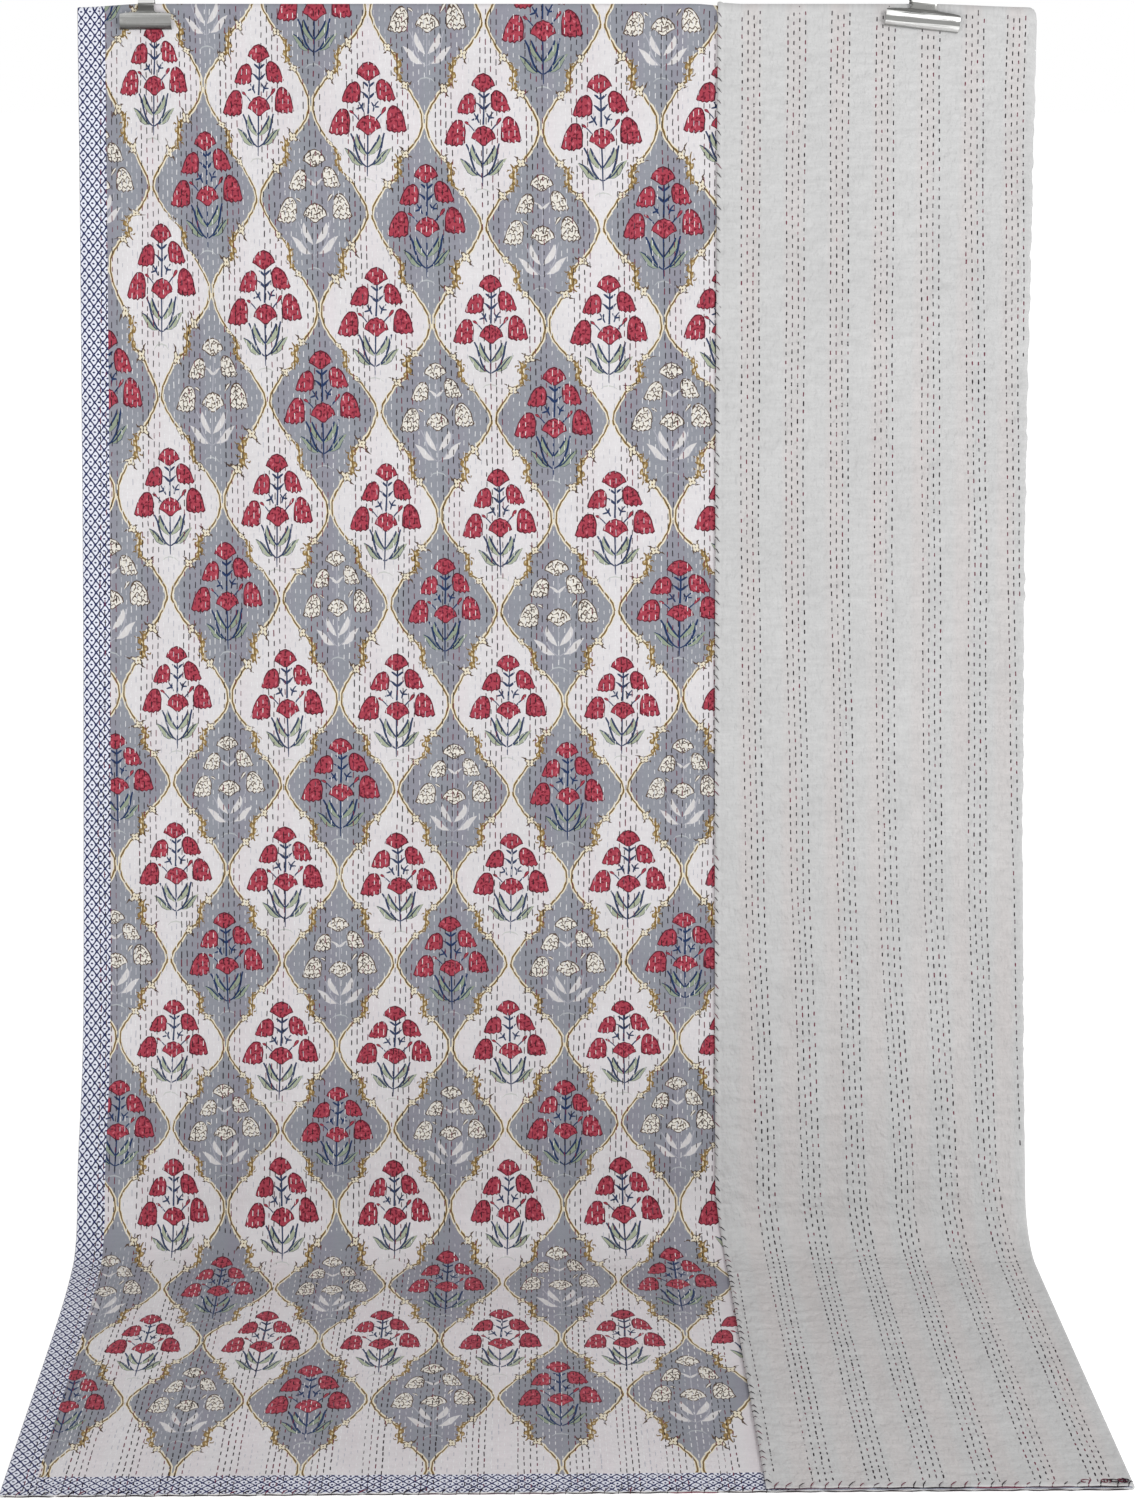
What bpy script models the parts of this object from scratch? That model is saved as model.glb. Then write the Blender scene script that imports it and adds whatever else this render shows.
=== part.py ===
"""A hand-quilted cotton bed cover, hung from two steel spring clips.

The cover is one long cloth of two layers. Its right side is folded forward, so a flap of the
plain reverse lies over the printed face. The folded width is then turned over at the top, where
the clips grip it, and hangs down behind. The front hangs at a slight lean, bends forward just
above the floor and runs out flat towards the viewer.

Every cloth piece is cut flat and then folded by one function. A place on the flat cloth is
(across, along, depth): across from the left edge, along from the hem behind the top fold down to
the foot, and depth from the reverse to the printed face. Metres, +Z up, the viewer looks along +Y.
"""
import math

import bmesh
import bpy
from mathutils import Matrix, Vector

# Cloth as cut
QUILT_WIDTH = 1.520
QUILT_LENGTH = 2.286
SHEET = 0.0011            # one layer of cloth
GAP = 0.0003              # between two pieces that touch
BORDER = 0.032            # width of the lattice-printed strips

# Folds
FOLDED_WIDTH = 1.141      # left edge to the side fold
SIDE_FOLD_RADIUS = 0.0035
TOP_FOLD_RADIUS = 0.0020  # inner radius where the cloth turns over at the top
BEND_RADIUS = 0.069       # where the hanging cloth meets the floor
VISIBLE_LENGTH = 1.990    # top fold to foot
HANG_LENGTH = 1.430
TOP_LEAN = math.radians(5.4)
FOOT_LEAN = math.radians(11.7)

# Unevenness
SWAY = 0.0030             # depth of the soft waves in the hanging cloth
SWAY_WAVES = (            # share of the depth, turns for each metre across and along, start
    dict(share=0.55, across=1.35, along=0.05, start=0.12),
    dict(share=0.30, across=3.20, along=-0.11, start=0.40),
    dict(share=0.15, across=0.30, along=1.92, start=0.00),
)
SWAY_TOP = (0.04, 0.35)   # the waves grow between these distances under the top
SWAY_FOOT = 0.25          # and die out over this length above the bend
WAIST = 0.0100            # how far the side fold draws in half-way down
BEND_SPREAD = 0.0070      # how far the left edge swings out at the bend
FLOOR_SWING = 0.0130      # sideways drift of the foot
FLAP_DRAW = 0.0080        # how far the flap's free edge draws in past the bend
FOOT_SKEW = 0.0130        # how much further forward the left end of the foot lies
END_DROOP = 0.0040        # drop of the top edge outside the clips
TOP_LEVEL = 0.30          # the drop is taken up within this distance of the top
STEP_SPREAD = 0.03        # the main cloth gives way to the flap's thickness over this, either side
CORNER_RADIUS = 0.0100    # rounded top corner at the side fold

# Quilting: bands of running stitch, with a soft puff between each two
FIRST_BAND = 0.0355
BAND_PITCH = 0.0535
PUFF = 0.0004
PRESSED_FLAT = (0.03, 0.10)  # the puffs grow between these distances from the top fold

# Steps of the meshes
COLUMN_SPARE = 0.0040
SIDE_FOLD_STEPS = 6
ROWS_IN_LEGS = (3, 5, 10, 5, 3)

THICKNESS = 2 * SHEET + GAP
STACK = 2 * SIDE_FOLD_RADIUS
TURNED_LENGTH = QUILT_LENGTH - VISIBLE_LENGTH
TOP_ARC = TOP_FOLD_RADIUS * (math.pi - TOP_LEAN)
APEX = TURNED_LENGTH - TOP_FOLD_RADIUS * math.pi / 2
SIDE_ARC = math.pi * (SIDE_FOLD_RADIUS - THICKNESS / 2)
FOLD_START = FOLDED_WIDTH - SIDE_FOLD_RADIUS
LEFT_EDGE = -FOLDED_WIDTH / 2
FOLD_END = FOLD_START + SIDE_ARC
FLAP_WIDTH = QUILT_WIDTH - FOLD_END
FLAP_EDGE = LEFT_EDGE + FOLD_START - FLAP_WIDTH

# Clips: x is the clip's middle, tilt turns it clockwise as the viewer sees it
CLIPS = (
    dict(name="clip_left", x=-0.489, jaw=0.061, neck=0.019, roll=0.0106, tilt=0.0,
         lip_below_top=0.0300, cloth=THICKNESS),
    dict(name="clip_right", x=0.432, jaw=0.088, neck=0.030, roll=0.0118, tilt=math.radians(6.0),
         lip_below_top=0.0300, cloth=STACK),
)
STEEL = 0.0010
CLIP_SEAT = 0.0004
NECK_SLOPE = math.radians(10)
NECK_LENGTH = 0.0175
ROLL_HEADINGS = (math.radians(76), math.radians(-55))
HANDLE_SLOPE = math.radians(32)
HANDLE_LENGTH = 0.0170
HANDLE_FLARE = 1.25       # handle width over neck width
CURL_RADIUS = 0.0030
CURL_END = math.radians(-140)
CREASE_RADIUS = 0.0020
HANDLE_BEND_RADIUS = 0.0100
SPRING_SIDES = 20

TOWARDS_VIEWER = math.pi / 2
STRAIGHT_UP = math.pi

# The cloth's side view, from the hem behind to the foot: length, heading at the start and the end
CLOTH_LEGS = (
    (APEX - TOP_FOLD_RADIUS * math.pi / 2, STRAIGHT_UP, STRAIGHT_UP),
    (TOP_ARC, STRAIGHT_UP, TOP_LEAN),
    (HANG_LENGTH, TOP_LEAN, FOOT_LEAN),
    (BEND_RADIUS * (TOWARDS_VIEWER - FOOT_LEAN), FOOT_LEAN, TOWARDS_VIEWER),
    (QUILT_LENGTH, TOWARDS_VIEWER, TOWARDS_VIEWER),
)
TOP_START = CLOTH_LEGS[0][0]
HANG_START = TOP_START + TOP_ARC
BEND_START = HANG_START + HANG_LENGTH
FLOOR_START = BEND_START + CLOTH_LEGS[3][0]


def walk(legs, distance):
    """Follows legs of steady curvature and returns (forward, up, heading) at a distance."""
    forward, up = 0.0, 0.0
    for length, start, end in legs:
        part = min(distance, length)
        heading = start + (end - start) * part / length
        if abs(end - start) < 1e-9:
            forward += part * math.sin(start)
            up -= part * math.cos(start)
        else:
            radius = length / (end - start)
            forward += radius * (math.cos(start) - math.cos(heading))
            up -= radius * (math.sin(heading) - math.sin(start))
        distance -= part
        if distance <= 0:
            break
    return forward, up, heading


FLOOR_DROP = walk(CLOTH_LEGS, FLOOR_START)[1]


def smooth(low, high, value):
    """0 below low, 1 above high, and an even curve between them."""
    share = min(1.0, max(0.0, (value - low) / (high - low)))
    return share * share * (3 - 2 * share)


def puff(across):
    """Height of the cloth between the stitched bands: -1 on a band, +1 midway."""
    return -math.cos(2 * math.pi * (across - FIRST_BAND) / BAND_PITCH)


def hanging(along):
    """1 in the free-hanging length, 0 at the clips and on the floor."""
    below_top = smooth(*SWAY_TOP, along - HANG_START)
    return below_top * smooth(0.0, SWAY_FOOT, BEND_START - along)


def side_fold(across, depth):
    """Sideways place and height in the stack of a point of the cloth folded at the side."""
    if across <= FOLD_START:
        return LEFT_EDGE + across, depth
    reach = SIDE_FOLD_RADIUS - depth
    if across >= FOLD_END:
        return LEFT_EDGE + FOLD_START - (across - FOLD_END), SIDE_FOLD_RADIUS + reach
    turn = (across - FOLD_START) / SIDE_ARC * math.pi
    return LEFT_EDGE + FOLD_START + reach * math.sin(turn), SIDE_FOLD_RADIUS - reach * math.cos(turn)


def top_drop(x):
    """How far the top edge lies under its highest line: at both ends and at the rounded corner."""
    outside = smooth(CLIPS[0]["x"], LEFT_EDGE, x) + smooth(CLIPS[1]["x"], -LEFT_EDGE, x)
    under_flap = smooth(FLAP_EDGE - STEP_SPREAD, FLAP_EDGE + STEP_SPREAD, x) * (STACK - THICKNESS)
    into_corner = min(CORNER_RADIUS, max(0.0, x + LEFT_EDGE + CORNER_RADIUS))
    corner = CORNER_RADIUS - math.sqrt(CORNER_RADIUS ** 2 - into_corner ** 2)
    return END_DROOP * outside + under_flap + corner


def sway(x, along):
    """Soft waves of the hanging cloth, out of its plane."""
    wave = sum(row["share"] * math.sin(2 * math.pi * (x * row["across"] + along * row["along"] + row["start"]))
               for row in SWAY_WAVES)
    return SWAY * wave * hanging(along)


def sideways(x, across, along):
    """How far the cloth lies off its straight course, in its own plane."""
    share = (x - LEFT_EDGE) / FOLDED_WIDTH
    down = min(1.0, max(0.0, (along - APEX) / VISIBLE_LENGTH))
    past_bend = min(1.0, max(0.0, (along - BEND_START) / (QUILT_LENGTH - BEND_START)))
    waist = WAIST * math.sin(math.pi * down) * share ** 5
    near_bend = math.exp(-((along - BEND_START) / SWAY_FOOT * 2) ** 2)
    spread = BEND_SPREAD * near_bend * max(0.0, 1 - share) ** 4
    into_flap = max(0.0, across - FOLD_END) / FLAP_WIDTH
    draw = FLAP_DRAW * into_flap * smooth(-SWAY_FOOT / 2, 0.0, along - FLOOR_START)
    return FLOOR_SWING * past_bend - waist - spread + draw, FOOT_SKEW * (0.5 - share) * past_bend


def fold(across, along, depth):
    """Places a point of the flat cloth in the hung and folded cover."""
    x, stack = side_fold(across, depth)
    forward, up, heading = walk(CLOTH_LEGS, along)
    out = stack + sway(x, along)
    near_top = 1 - smooth(0.0, TOP_LEVEL, abs(along - APEX))
    aside, ahead = sideways(x, across, along)
    forward += out * math.cos(heading) + ahead
    up += out * math.sin(heading) - FLOOR_DROP - top_drop(x) * near_top
    return Vector((x + aside, -forward, up))


def evenly(start, end, count):
    return [start + (end - start) * step / count for step in range(count + 1)]


def quilt_columns(low, high):
    """Lines down the cloth: on and between the bands, and closely round the side fold."""
    half = BAND_PITCH / 2
    clear = CORNER_RADIUS + COLUMN_SPARE
    flat = [FIRST_BAND + half * step for step in range(int(QUILT_WIDTH / half))]
    before = [value for value in flat if low + COLUMN_SPARE < value < FOLD_START - clear]
    after = [value for value in flat if FOLD_END + clear < value < high - COLUMN_SPARE]
    into_fold = [FOLD_START - CORNER_RADIUS, FOLD_START - COLUMN_SPARE]
    out_of_fold = [FOLD_END + COLUMN_SPARE, FOLD_END + CORNER_RADIUS]
    round_fold = evenly(FOLD_START, FOLD_END, SIDE_FOLD_STEPS)
    return [low] + before + into_fold + round_fold + out_of_fold + after + [high]


def quilt_rows(low, high):
    """Lines across the cloth: few where it is straight and more where it bends."""
    ends = (0.0, TOP_START, HANG_START, BEND_START, FLOOR_START, QUILT_LENGTH)
    lines = [line for start, end, count in zip(ends, ends[1:], ROWS_IN_LEGS)
             for line in evenly(start, end, count)[1:]]
    return [low] + [line for line in lines if low < line < high - SHEET] + [high]


def slab(name, columns, rows, faces, finish):
    """A closed sheet: a grid of columns and rows on each of its two faces, joined at the rim."""
    mesh = bpy.data.meshes.new(name)
    build = bmesh.new()
    grids = [[[build.verts.new(fold(across, along, face(across, along))) for along in rows]
              for across in columns] for face in faces]
    low, high = grids
    for i in range(len(columns) - 1):
        for j in range(len(rows) - 1):
            build.faces.new((high[i][j], high[i][j + 1], high[i + 1][j + 1], high[i + 1][j]))
            build.faces.new((low[i][j], low[i + 1][j], low[i + 1][j + 1], low[i][j + 1]))
    rim = ([(i, 0) for i in range(len(columns))]
           + [(len(columns) - 1, j) for j in range(1, len(rows))]
           + [(i, len(rows) - 1) for i in range(len(columns) - 2, -1, -1)]
           + [(0, j) for j in range(len(rows) - 2, 0, -1)])
    for (i, j), (k, m) in zip(rim, rim[1:] + rim[:1]):
        build.faces.new((low[i][j], high[i][j], high[k][m], low[k][m]))
    bmesh.ops.triangulate(build, faces=build.faces)
    bmesh.ops.recalc_face_normals(build, faces=build.faces)
    build.to_mesh(mesh)
    build.free()
    piece = bpy.data.objects.new(name, mesh)
    piece.data.materials.append(finish)
    return piece


def printed_face(across, along):
    """Depth of the printed face, with the puffs between the stitched bands."""
    return THICKNESS + PUFF * puff(across) * smooth(*PRESSED_FLAT, abs(along - APEX))


def reverse_face(across, along):
    """Depth of the reverse face: puffed on the flap and where it hangs, flat on the floor."""
    off_floor = 1.0 if across > FOLD_END else smooth(0.0, SWAY_FOOT, BEND_START - along)
    return -PUFF * puff(across) * smooth(*PRESSED_FLAT, abs(along - APEX)) * off_floor


def panel_underside(across, along):
    return SHEET + GAP


def backing_topside(across, along):
    return SHEET


def clip_legs(clip):
    """Side view of a clip's plate from its lip up; heading 0 is straight up, positive outwards.

    Each row has a stretch's length and its headings at both ends.
    """
    lip, shoulder = ROLL_HEADINGS
    return (
        (clip["roll"] * (lip - shoulder), lip, shoulder),
        (CREASE_RADIUS * (-NECK_SLOPE - shoulder), shoulder, -NECK_SLOPE),
        (NECK_LENGTH, -NECK_SLOPE, -NECK_SLOPE),
        (HANDLE_BEND_RADIUS * (HANDLE_SLOPE + NECK_SLOPE), -NECK_SLOPE, HANDLE_SLOPE),
        (HANDLE_LENGTH, HANDLE_SLOPE, HANDLE_SLOPE),
        (CURL_RADIUS * (HANDLE_SLOPE - CURL_END), HANDLE_SLOPE, CURL_END),
    )


PLATE_STEPS = (10, 3, 3, 3, 2, 7)
ROLL, NECK_BEND = 0, 3


def plate_row(clip, stretch, share):
    """Sideways places of a plate's points: jaw and neck corners on the roll, else the neck's two."""
    flared = smooth(0.0, 1.0, stretch - NECK_BEND + share)
    flare = 1 + (HANDLE_FLARE - 1) * flared
    neck = clip["neck"] / 2 * flare
    if stretch == ROLL:
        return [-clip["jaw"] / 2, -neck, neck, clip["jaw"] / 2]
    return [-neck, neck]


def clip_plate(clip, name, lean, side, finish):
    """One bent steel plate: a rolled jaw, a narrow neck and a handle with a curled end."""
    legs = clip_legs(clip)
    build = bmesh.new()
    strips = []
    travelled = 0.0
    for stretch, (leg, count) in enumerate(zip(legs, PLATE_STEPS)):
        for share in evenly(0.0, 1.0, count)[0 if stretch == ROLL else 1:]:
            out, down, _ = walk(legs, travelled + leg[0] * share)
            strips.append([build.verts.new((x, -out, -down)) for x in plate_row(clip, stretch, share)])
        travelled += leg[0]
    for lower, upper in zip(strips, strips[1:]):
        start = (len(lower) - len(upper)) // 2
        for i in range(len(upper) - 1):
            build.faces.new((lower[start + i], lower[start + i + 1], upper[i + 1], upper[i]))
    bmesh.ops.recalc_face_normals(build, faces=build.faces)
    mesh = bpy.data.meshes.new(name)
    build.to_mesh(mesh)
    build.free()
    plate = bpy.data.objects.new(name, mesh)
    plate.data.materials.append(finish)
    shell = plate.modifiers.new("steel", "SOLIDIFY")
    shell.thickness = STEEL
    shell.offset = 1.0
    shell.use_even_offset = True
    seat = TOP_FOLD_RADIUS + clip["cloth"] + CLIP_SEAT
    plate.matrix_world = (Matrix.Translation((clip["x"], 0, 0)) @ Matrix.Translation(top_fold_centre())
                          @ Matrix.Rotation(0.0 if side > 0 else math.pi, 4, "Z")
                          @ Matrix.Rotation(-lean, 4, "X")
                          @ Matrix.Translation((0, -seat, TOP_FOLD_RADIUS + THICKNESS - clip["lip_below_top"]))
                          @ Matrix.Rotation(side * clip["tilt"], 4, "Y"))
    return plate


def top_fold_centre():
    """The axis that the cloth turns over at the top, at x = 0."""
    forward, up, _ = walk(CLOTH_LEGS, APEX)
    return Vector((0, -forward, up - FLOOR_DROP - TOP_FOLD_RADIUS))


def principled(name, colour, roughness, metallic=0.0):
    finish = bpy.data.materials.new(name)
    finish.use_nodes = True
    shader = finish.node_tree.nodes["Principled BSDF"]
    shader.inputs["Base Color"].default_value = (*colour, 1.0)
    shader.inputs["Roughness"].default_value = roughness
    shader.inputs["Metallic"].default_value = metallic
    return finish


def cloth_pieces():
    """The two full-size layers and the lattice strips on three of the printed edges."""
    print_cotton = principled("printed cotton", (0.55, 0.46, 0.50), 0.9)
    reverse_cotton = principled("cream cotton", (0.69, 0.68, 0.65), 0.9)
    lattice_cotton = principled("lattice cotton", (0.52, 0.58, 0.74), 0.9)
    printed = (panel_underside, printed_face)
    inside = (BORDER + GAP, QUILT_LENGTH - BORDER - GAP)
    columns = quilt_columns(BORDER + GAP, QUILT_WIDTH)
    return [
        slab("backing", quilt_columns(0.0, QUILT_WIDTH), quilt_rows(0.0, QUILT_LENGTH),
             (reverse_face, backing_topside), reverse_cotton),
        slab("front_panel", columns, quilt_rows(*inside), printed, print_cotton),
        slab("border_side", [0.0, BORDER], quilt_rows(0.0, QUILT_LENGTH), printed, lattice_cotton),
        slab("border_head", columns, [0.0, BORDER], printed, lattice_cotton),
        slab("border_foot", columns, [QUILT_LENGTH - BORDER, QUILT_LENGTH], printed, lattice_cotton),
    ]


def plate_gap(clip, height, lean):
    """Sideways place of a plate's inner face, from the top fold's centre, at a height over it."""
    above_lip = height + clip["lip_below_top"] - TOP_FOLD_RADIUS - THICKNESS
    legs = clip_legs(clip)
    to_neck_top = sum(leg[0] for leg in legs[:NECK_BEND + 1])
    nearest = min(evenly(0.0, to_neck_top, 60), key=lambda distance: abs(-walk(legs, distance)[1] - above_lip))
    seat = TOP_FOLD_RADIUS + clip["cloth"] + CLIP_SEAT
    return (seat + walk(legs, nearest)[0]) * math.cos(lean) - height * math.sin(lean)


def clip_spring(clip, finish):
    """The barrel spring between a clip's two plates, just above the cloth."""
    height = TOP_FOLD_RADIUS + THICKNESS + clip["cloth"]
    front = plate_gap(clip, height, TOP_LEAN)
    rear = plate_gap(clip, height, 0.0)
    radius = (front + rear) / 2 * math.cos(NECK_SLOPE + TOP_LEAN) - 2 * GAP
    bpy.ops.mesh.primitive_cylinder_add(vertices=SPRING_SIDES, radius=radius, depth=clip["neck"] - 2 * STEEL)
    spring = bpy.context.object
    spring.name = clip["name"] + "_spring"
    spring.data.materials.append(finish)
    dip = clip["neck"] / 2 * math.sin(clip["tilt"])
    middle = Vector((clip["x"], (rear - front) / 2, TOP_FOLD_RADIUS + THICKNESS + GAP + radius + dip))
    spring.matrix_world = (Matrix.Translation(top_fold_centre() + middle)
                           @ Matrix.Rotation(clip["tilt"], 4, "Y") @ Matrix.Rotation(math.pi / 2, 4, "Y"))
    return spring


def clip_pieces():
    steel = principled("clip steel", (0.55, 0.56, 0.54), 0.3, 1.0)
    spring_steel = principled("spring steel", (0.30, 0.30, 0.30), 0.4, 1.0)
    pieces = []
    for clip in CLIPS:
        pieces.append(clip_plate(clip, clip["name"] + "_front", TOP_LEAN, 1, steel))
        pieces.append(clip_plate(clip, clip["name"] + "_rear", 0.0, -1, steel))
        pieces.append(clip_spring(clip, spring_steel))
    return pieces


def centre_on_floor(pieces, holder):
    """Moves the holder so that the footprint of all its pieces is centred on the origin."""
    bpy.context.view_layer.update()
    graph = bpy.context.evaluated_depsgraph_get()
    corners = [piece.matrix_world @ Vector(corner) for piece in pieces
               for corner in piece.evaluated_get(graph).bound_box]
    middle = [(min(corner[axis] for corner in corners) + max(corner[axis] for corner in corners)) / 2
              for axis in (0, 1)]
    holder.location = (-middle[0], -middle[1], 0.0)


def main():
    for item in list(bpy.data.objects):
        bpy.data.objects.remove(item)
    collection = bpy.data.collections.new("kantha quilt")
    bpy.context.scene.collection.children.link(collection)
    holder = bpy.data.objects.new("quilt_holder", None)
    collection.objects.link(holder)
    pieces = cloth_pieces() + clip_pieces()
    for piece in pieces:
        for owner in list(piece.users_collection):
            owner.objects.unlink(piece)
        collection.objects.link(piece)
        piece.parent = holder
    centre_on_floor(pieces, holder)


main()
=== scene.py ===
"""The looks of a hand-quilted cotton bed cover that hangs from two steel spring clips.

The cover is printed with an ogee lattice of flower sprays and quilted with bands of dark and
white running stitch. Every cloth piece is drawn flat, in metres, as (across, along), and then
folded by the same functions as the part's solids. The print is drawn once, cell by cell, in
block units (a cell is 112 wide and 184 high), cut into triangles and laid out over the cloth.
"""
import math

import bmesh
import bpy
import numpy as np
from mathutils import Matrix, Vector, geometry

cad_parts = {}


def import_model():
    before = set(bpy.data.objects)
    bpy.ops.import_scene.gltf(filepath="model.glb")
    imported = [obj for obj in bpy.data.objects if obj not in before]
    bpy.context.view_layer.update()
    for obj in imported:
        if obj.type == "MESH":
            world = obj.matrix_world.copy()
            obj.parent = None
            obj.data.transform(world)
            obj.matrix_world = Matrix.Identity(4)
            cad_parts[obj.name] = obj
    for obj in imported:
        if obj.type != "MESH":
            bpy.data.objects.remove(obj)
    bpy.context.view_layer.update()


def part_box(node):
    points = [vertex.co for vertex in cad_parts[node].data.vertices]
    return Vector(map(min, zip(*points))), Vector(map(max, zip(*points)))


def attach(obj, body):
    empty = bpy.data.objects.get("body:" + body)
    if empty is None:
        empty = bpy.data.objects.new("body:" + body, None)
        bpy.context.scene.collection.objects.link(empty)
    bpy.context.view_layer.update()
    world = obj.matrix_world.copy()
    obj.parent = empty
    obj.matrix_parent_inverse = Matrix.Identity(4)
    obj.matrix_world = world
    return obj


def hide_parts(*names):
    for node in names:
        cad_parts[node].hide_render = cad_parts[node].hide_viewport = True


# Cloth as cut, and its folds: the part's own sizes
QUILT_WIDTH = 1.520
QUILT_LENGTH = 2.286
SHEET = 0.0011
GAP = 0.0003
BORDER = 0.032
FOLDED_WIDTH = 1.141
SIDE_FOLD_RADIUS = 0.0035
TOP_FOLD_RADIUS = 0.0020
BEND_RADIUS = 0.069
VISIBLE_LENGTH = 1.990
HANG_LENGTH = 1.430
TOP_LEAN = math.radians(5.4)
FOOT_LEAN = math.radians(11.7)
SWAY = 0.0030
SWAY_WAVES = (
    dict(share=0.55, across=1.35, along=0.05, start=0.12),
    dict(share=0.30, across=3.20, along=-0.11, start=0.40),
    dict(share=0.15, across=0.30, along=1.92, start=0.00),
)
SWAY_TOP = (0.04, 0.35)
SWAY_FOOT = 0.25
WAIST = 0.0100
BEND_SPREAD = 0.0070
FLOOR_SWING = 0.0130
FLAP_DRAW = 0.0080
FOOT_SKEW = 0.0130
END_DROOP = 0.0040
TOP_LEVEL = 0.30
STEP_SPREAD = 0.03
CORNER_RADIUS = 0.0100
FIRST_BAND = 0.0355
BAND_PITCH = 0.0535
PUFF = 0.0004
PRESSED_FLAT = (0.03, 0.10)
CLIPS = (
    dict(name="clip_left", x=-0.489, jaw=0.061, neck=0.019, roll=0.0106, tilt=0.0, layers=1),
    dict(name="clip_right", x=0.432, jaw=0.088, neck=0.030, roll=0.0118, tilt=math.radians(6.0), layers=2),
)
PLACED = (-0.003, 0.36859)   # where the cloth's own origin stands in the part's frame

THICKNESS = 2 * SHEET + GAP
STACK = 2 * SIDE_FOLD_RADIUS
TURNED_LENGTH = QUILT_LENGTH - VISIBLE_LENGTH
TOP_ARC = TOP_FOLD_RADIUS * (math.pi - TOP_LEAN)
APEX = TURNED_LENGTH - TOP_FOLD_RADIUS * math.pi / 2
SIDE_ARC = math.pi * (SIDE_FOLD_RADIUS - THICKNESS / 2)
FOLD_START = FOLDED_WIDTH - SIDE_FOLD_RADIUS
LEFT_EDGE = -FOLDED_WIDTH / 2
FOLD_END = FOLD_START + SIDE_ARC
FLAP_WIDTH = QUILT_WIDTH - FOLD_END
FLAP_EDGE = LEFT_EDGE + FOLD_START - FLAP_WIDTH
FULL_TURN = 2 * math.pi
CLOTH_LEGS = (
    (APEX - TOP_FOLD_RADIUS * math.pi / 2, math.pi, math.pi),
    (TOP_ARC, math.pi, TOP_LEAN),
    (HANG_LENGTH, TOP_LEAN, FOOT_LEAN),
    (BEND_RADIUS * (math.pi / 2 - FOOT_LEAN), FOOT_LEAN, math.pi / 2),
    (QUILT_LENGTH, math.pi / 2, math.pi / 2),
)
TOP_START = CLOTH_LEGS[0][0]
HANG_START = TOP_START + TOP_ARC
BEND_START = HANG_START + HANG_LENGTH
FLOOR_START = BEND_START + CLOTH_LEGS[3][0]

# The print. PRINT_ROWS gives, for each half row of the lattice from the top fold down, how far
# across the cloth its columns 0, 1.5, 3.5 and 5 lie, and how far under the fold.
CELL_WIDE, HALF_CELL = 112.0, 92.0
PRINT_COLUMNS = (0.0, 1.5, 3.5, 5.0)
PRINT_ROWS = (
    dict(row=0, across=(0.0887, 0.2791, 0.5525, 0.7672), under_fold=(-0.0255, -0.0011, 0.0227, 0.0114)),
    dict(row=1, across=(0.0881, 0.2769, 0.5500, 0.7655), under_fold=(0.0847, 0.1199, 0.1483, 0.1301)),
    dict(row=2, across=(0.0858, 0.2786, 0.5524, 0.7702), under_fold=(0.2135, 0.2386, 0.2656, 0.2476)),
    dict(row=3, across=(0.0946, 0.2842, 0.5588, 0.7681), under_fold=(0.3261, 0.3650, 0.3830, 0.3761)),
    dict(row=4, across=(0.0924, 0.2887, 0.5647, 0.7776), under_fold=(0.4644, 0.4782, 0.4957, 0.4798)),
    dict(row=5, across=(0.1033, 0.2966, 0.5666, 0.7846), under_fold=(0.5881, 0.6032, 0.6141, 0.6077)),
    dict(row=6, across=(0.1026, 0.3032, 0.5699, 0.8007), under_fold=(0.7051, 0.7141, 0.7254, 0.7128)),
    dict(row=7, across=(0.1105, 0.3079, 0.5791, 0.7914), under_fold=(0.8259, 0.8332, 0.8347, 0.8239)),
    dict(row=8, across=(0.1056, 0.3086, 0.5832, 0.7900), under_fold=(0.9307, 0.9374, 0.9411, 0.9275)),
    dict(row=9, across=(0.1065, 0.3078, 0.5839, 0.7940), under_fold=(1.0346, 1.0437, 1.0464, 1.0340)),
    dict(row=10, across=(0.1032, 0.3063, 0.5807, 0.7949), under_fold=(1.1431, 1.1494, 1.1478, 1.1421)),
    dict(row=11, across=(0.1065, 0.3042, 0.5802, 0.7824), under_fold=(1.2441, 1.2515, 1.2444, 1.2417)),
    dict(row=12, across=(0.1080, 0.3048, 0.5777, 0.7828), under_fold=(1.3457, 1.3490, 1.3437, 1.3326)),
    dict(row=13, across=(0.1104, 0.3066, 0.5783, 0.7845), under_fold=(1.4418, 1.4430, 1.4408, 1.4404)),
    dict(row=14, across=(0.1089, 0.3044, 0.5709, 0.7769), under_fold=(1.5761, 1.5734, 1.5623, 1.5632)),
    dict(row=15, across=(0.1041, 0.2997, 0.5693, 0.7806), under_fold=(1.7008, 1.6928, 1.6916, 1.6822)),
    dict(row=16, across=(0.1015, 0.2949, 0.5657, 0.7783), under_fold=(1.8211, 1.8210, 1.8108, 1.7996)),
    dict(row=17, across=(0.1045, 0.2977, 0.5643, 0.7805), under_fold=(1.9534, 1.9524, 1.9469, 1.9590)),
)
ROWS_ABOVE, ROWS_BELOW, ROW_STEP = 5, 3, 0.1175   # the lattice carried on past the rows that show
CELL_ROWS, CELL_STEPS = range(-3, 19), range(-1, 8)   # the cells that can reach the cloth
CELL_POINTS = 14.0       # pitch of the points added inside a cell, so that it folds with the cloth
PRINT_WANDER = 0.0007    # how far the printed lines stray from the lattice
SPRAY_SIZE, SPRAY_SHIFT, SPRAY_TURN = 0.025, 1.0, 2.0   # how uneven the printed sprays are
BLANK_ROW = 17           # the last row of white cells was printed without flowers
FIRST_ROW_SEEN = 0       # the cells of the rows before it lie behind the top fold
PRINT_END = 0.800        # the print is drawn this far across; the rest lies under the flap
PRINT_SPLITS = (0.960, 1.620)   # where the printed face is parted into pieces of mesh
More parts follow.
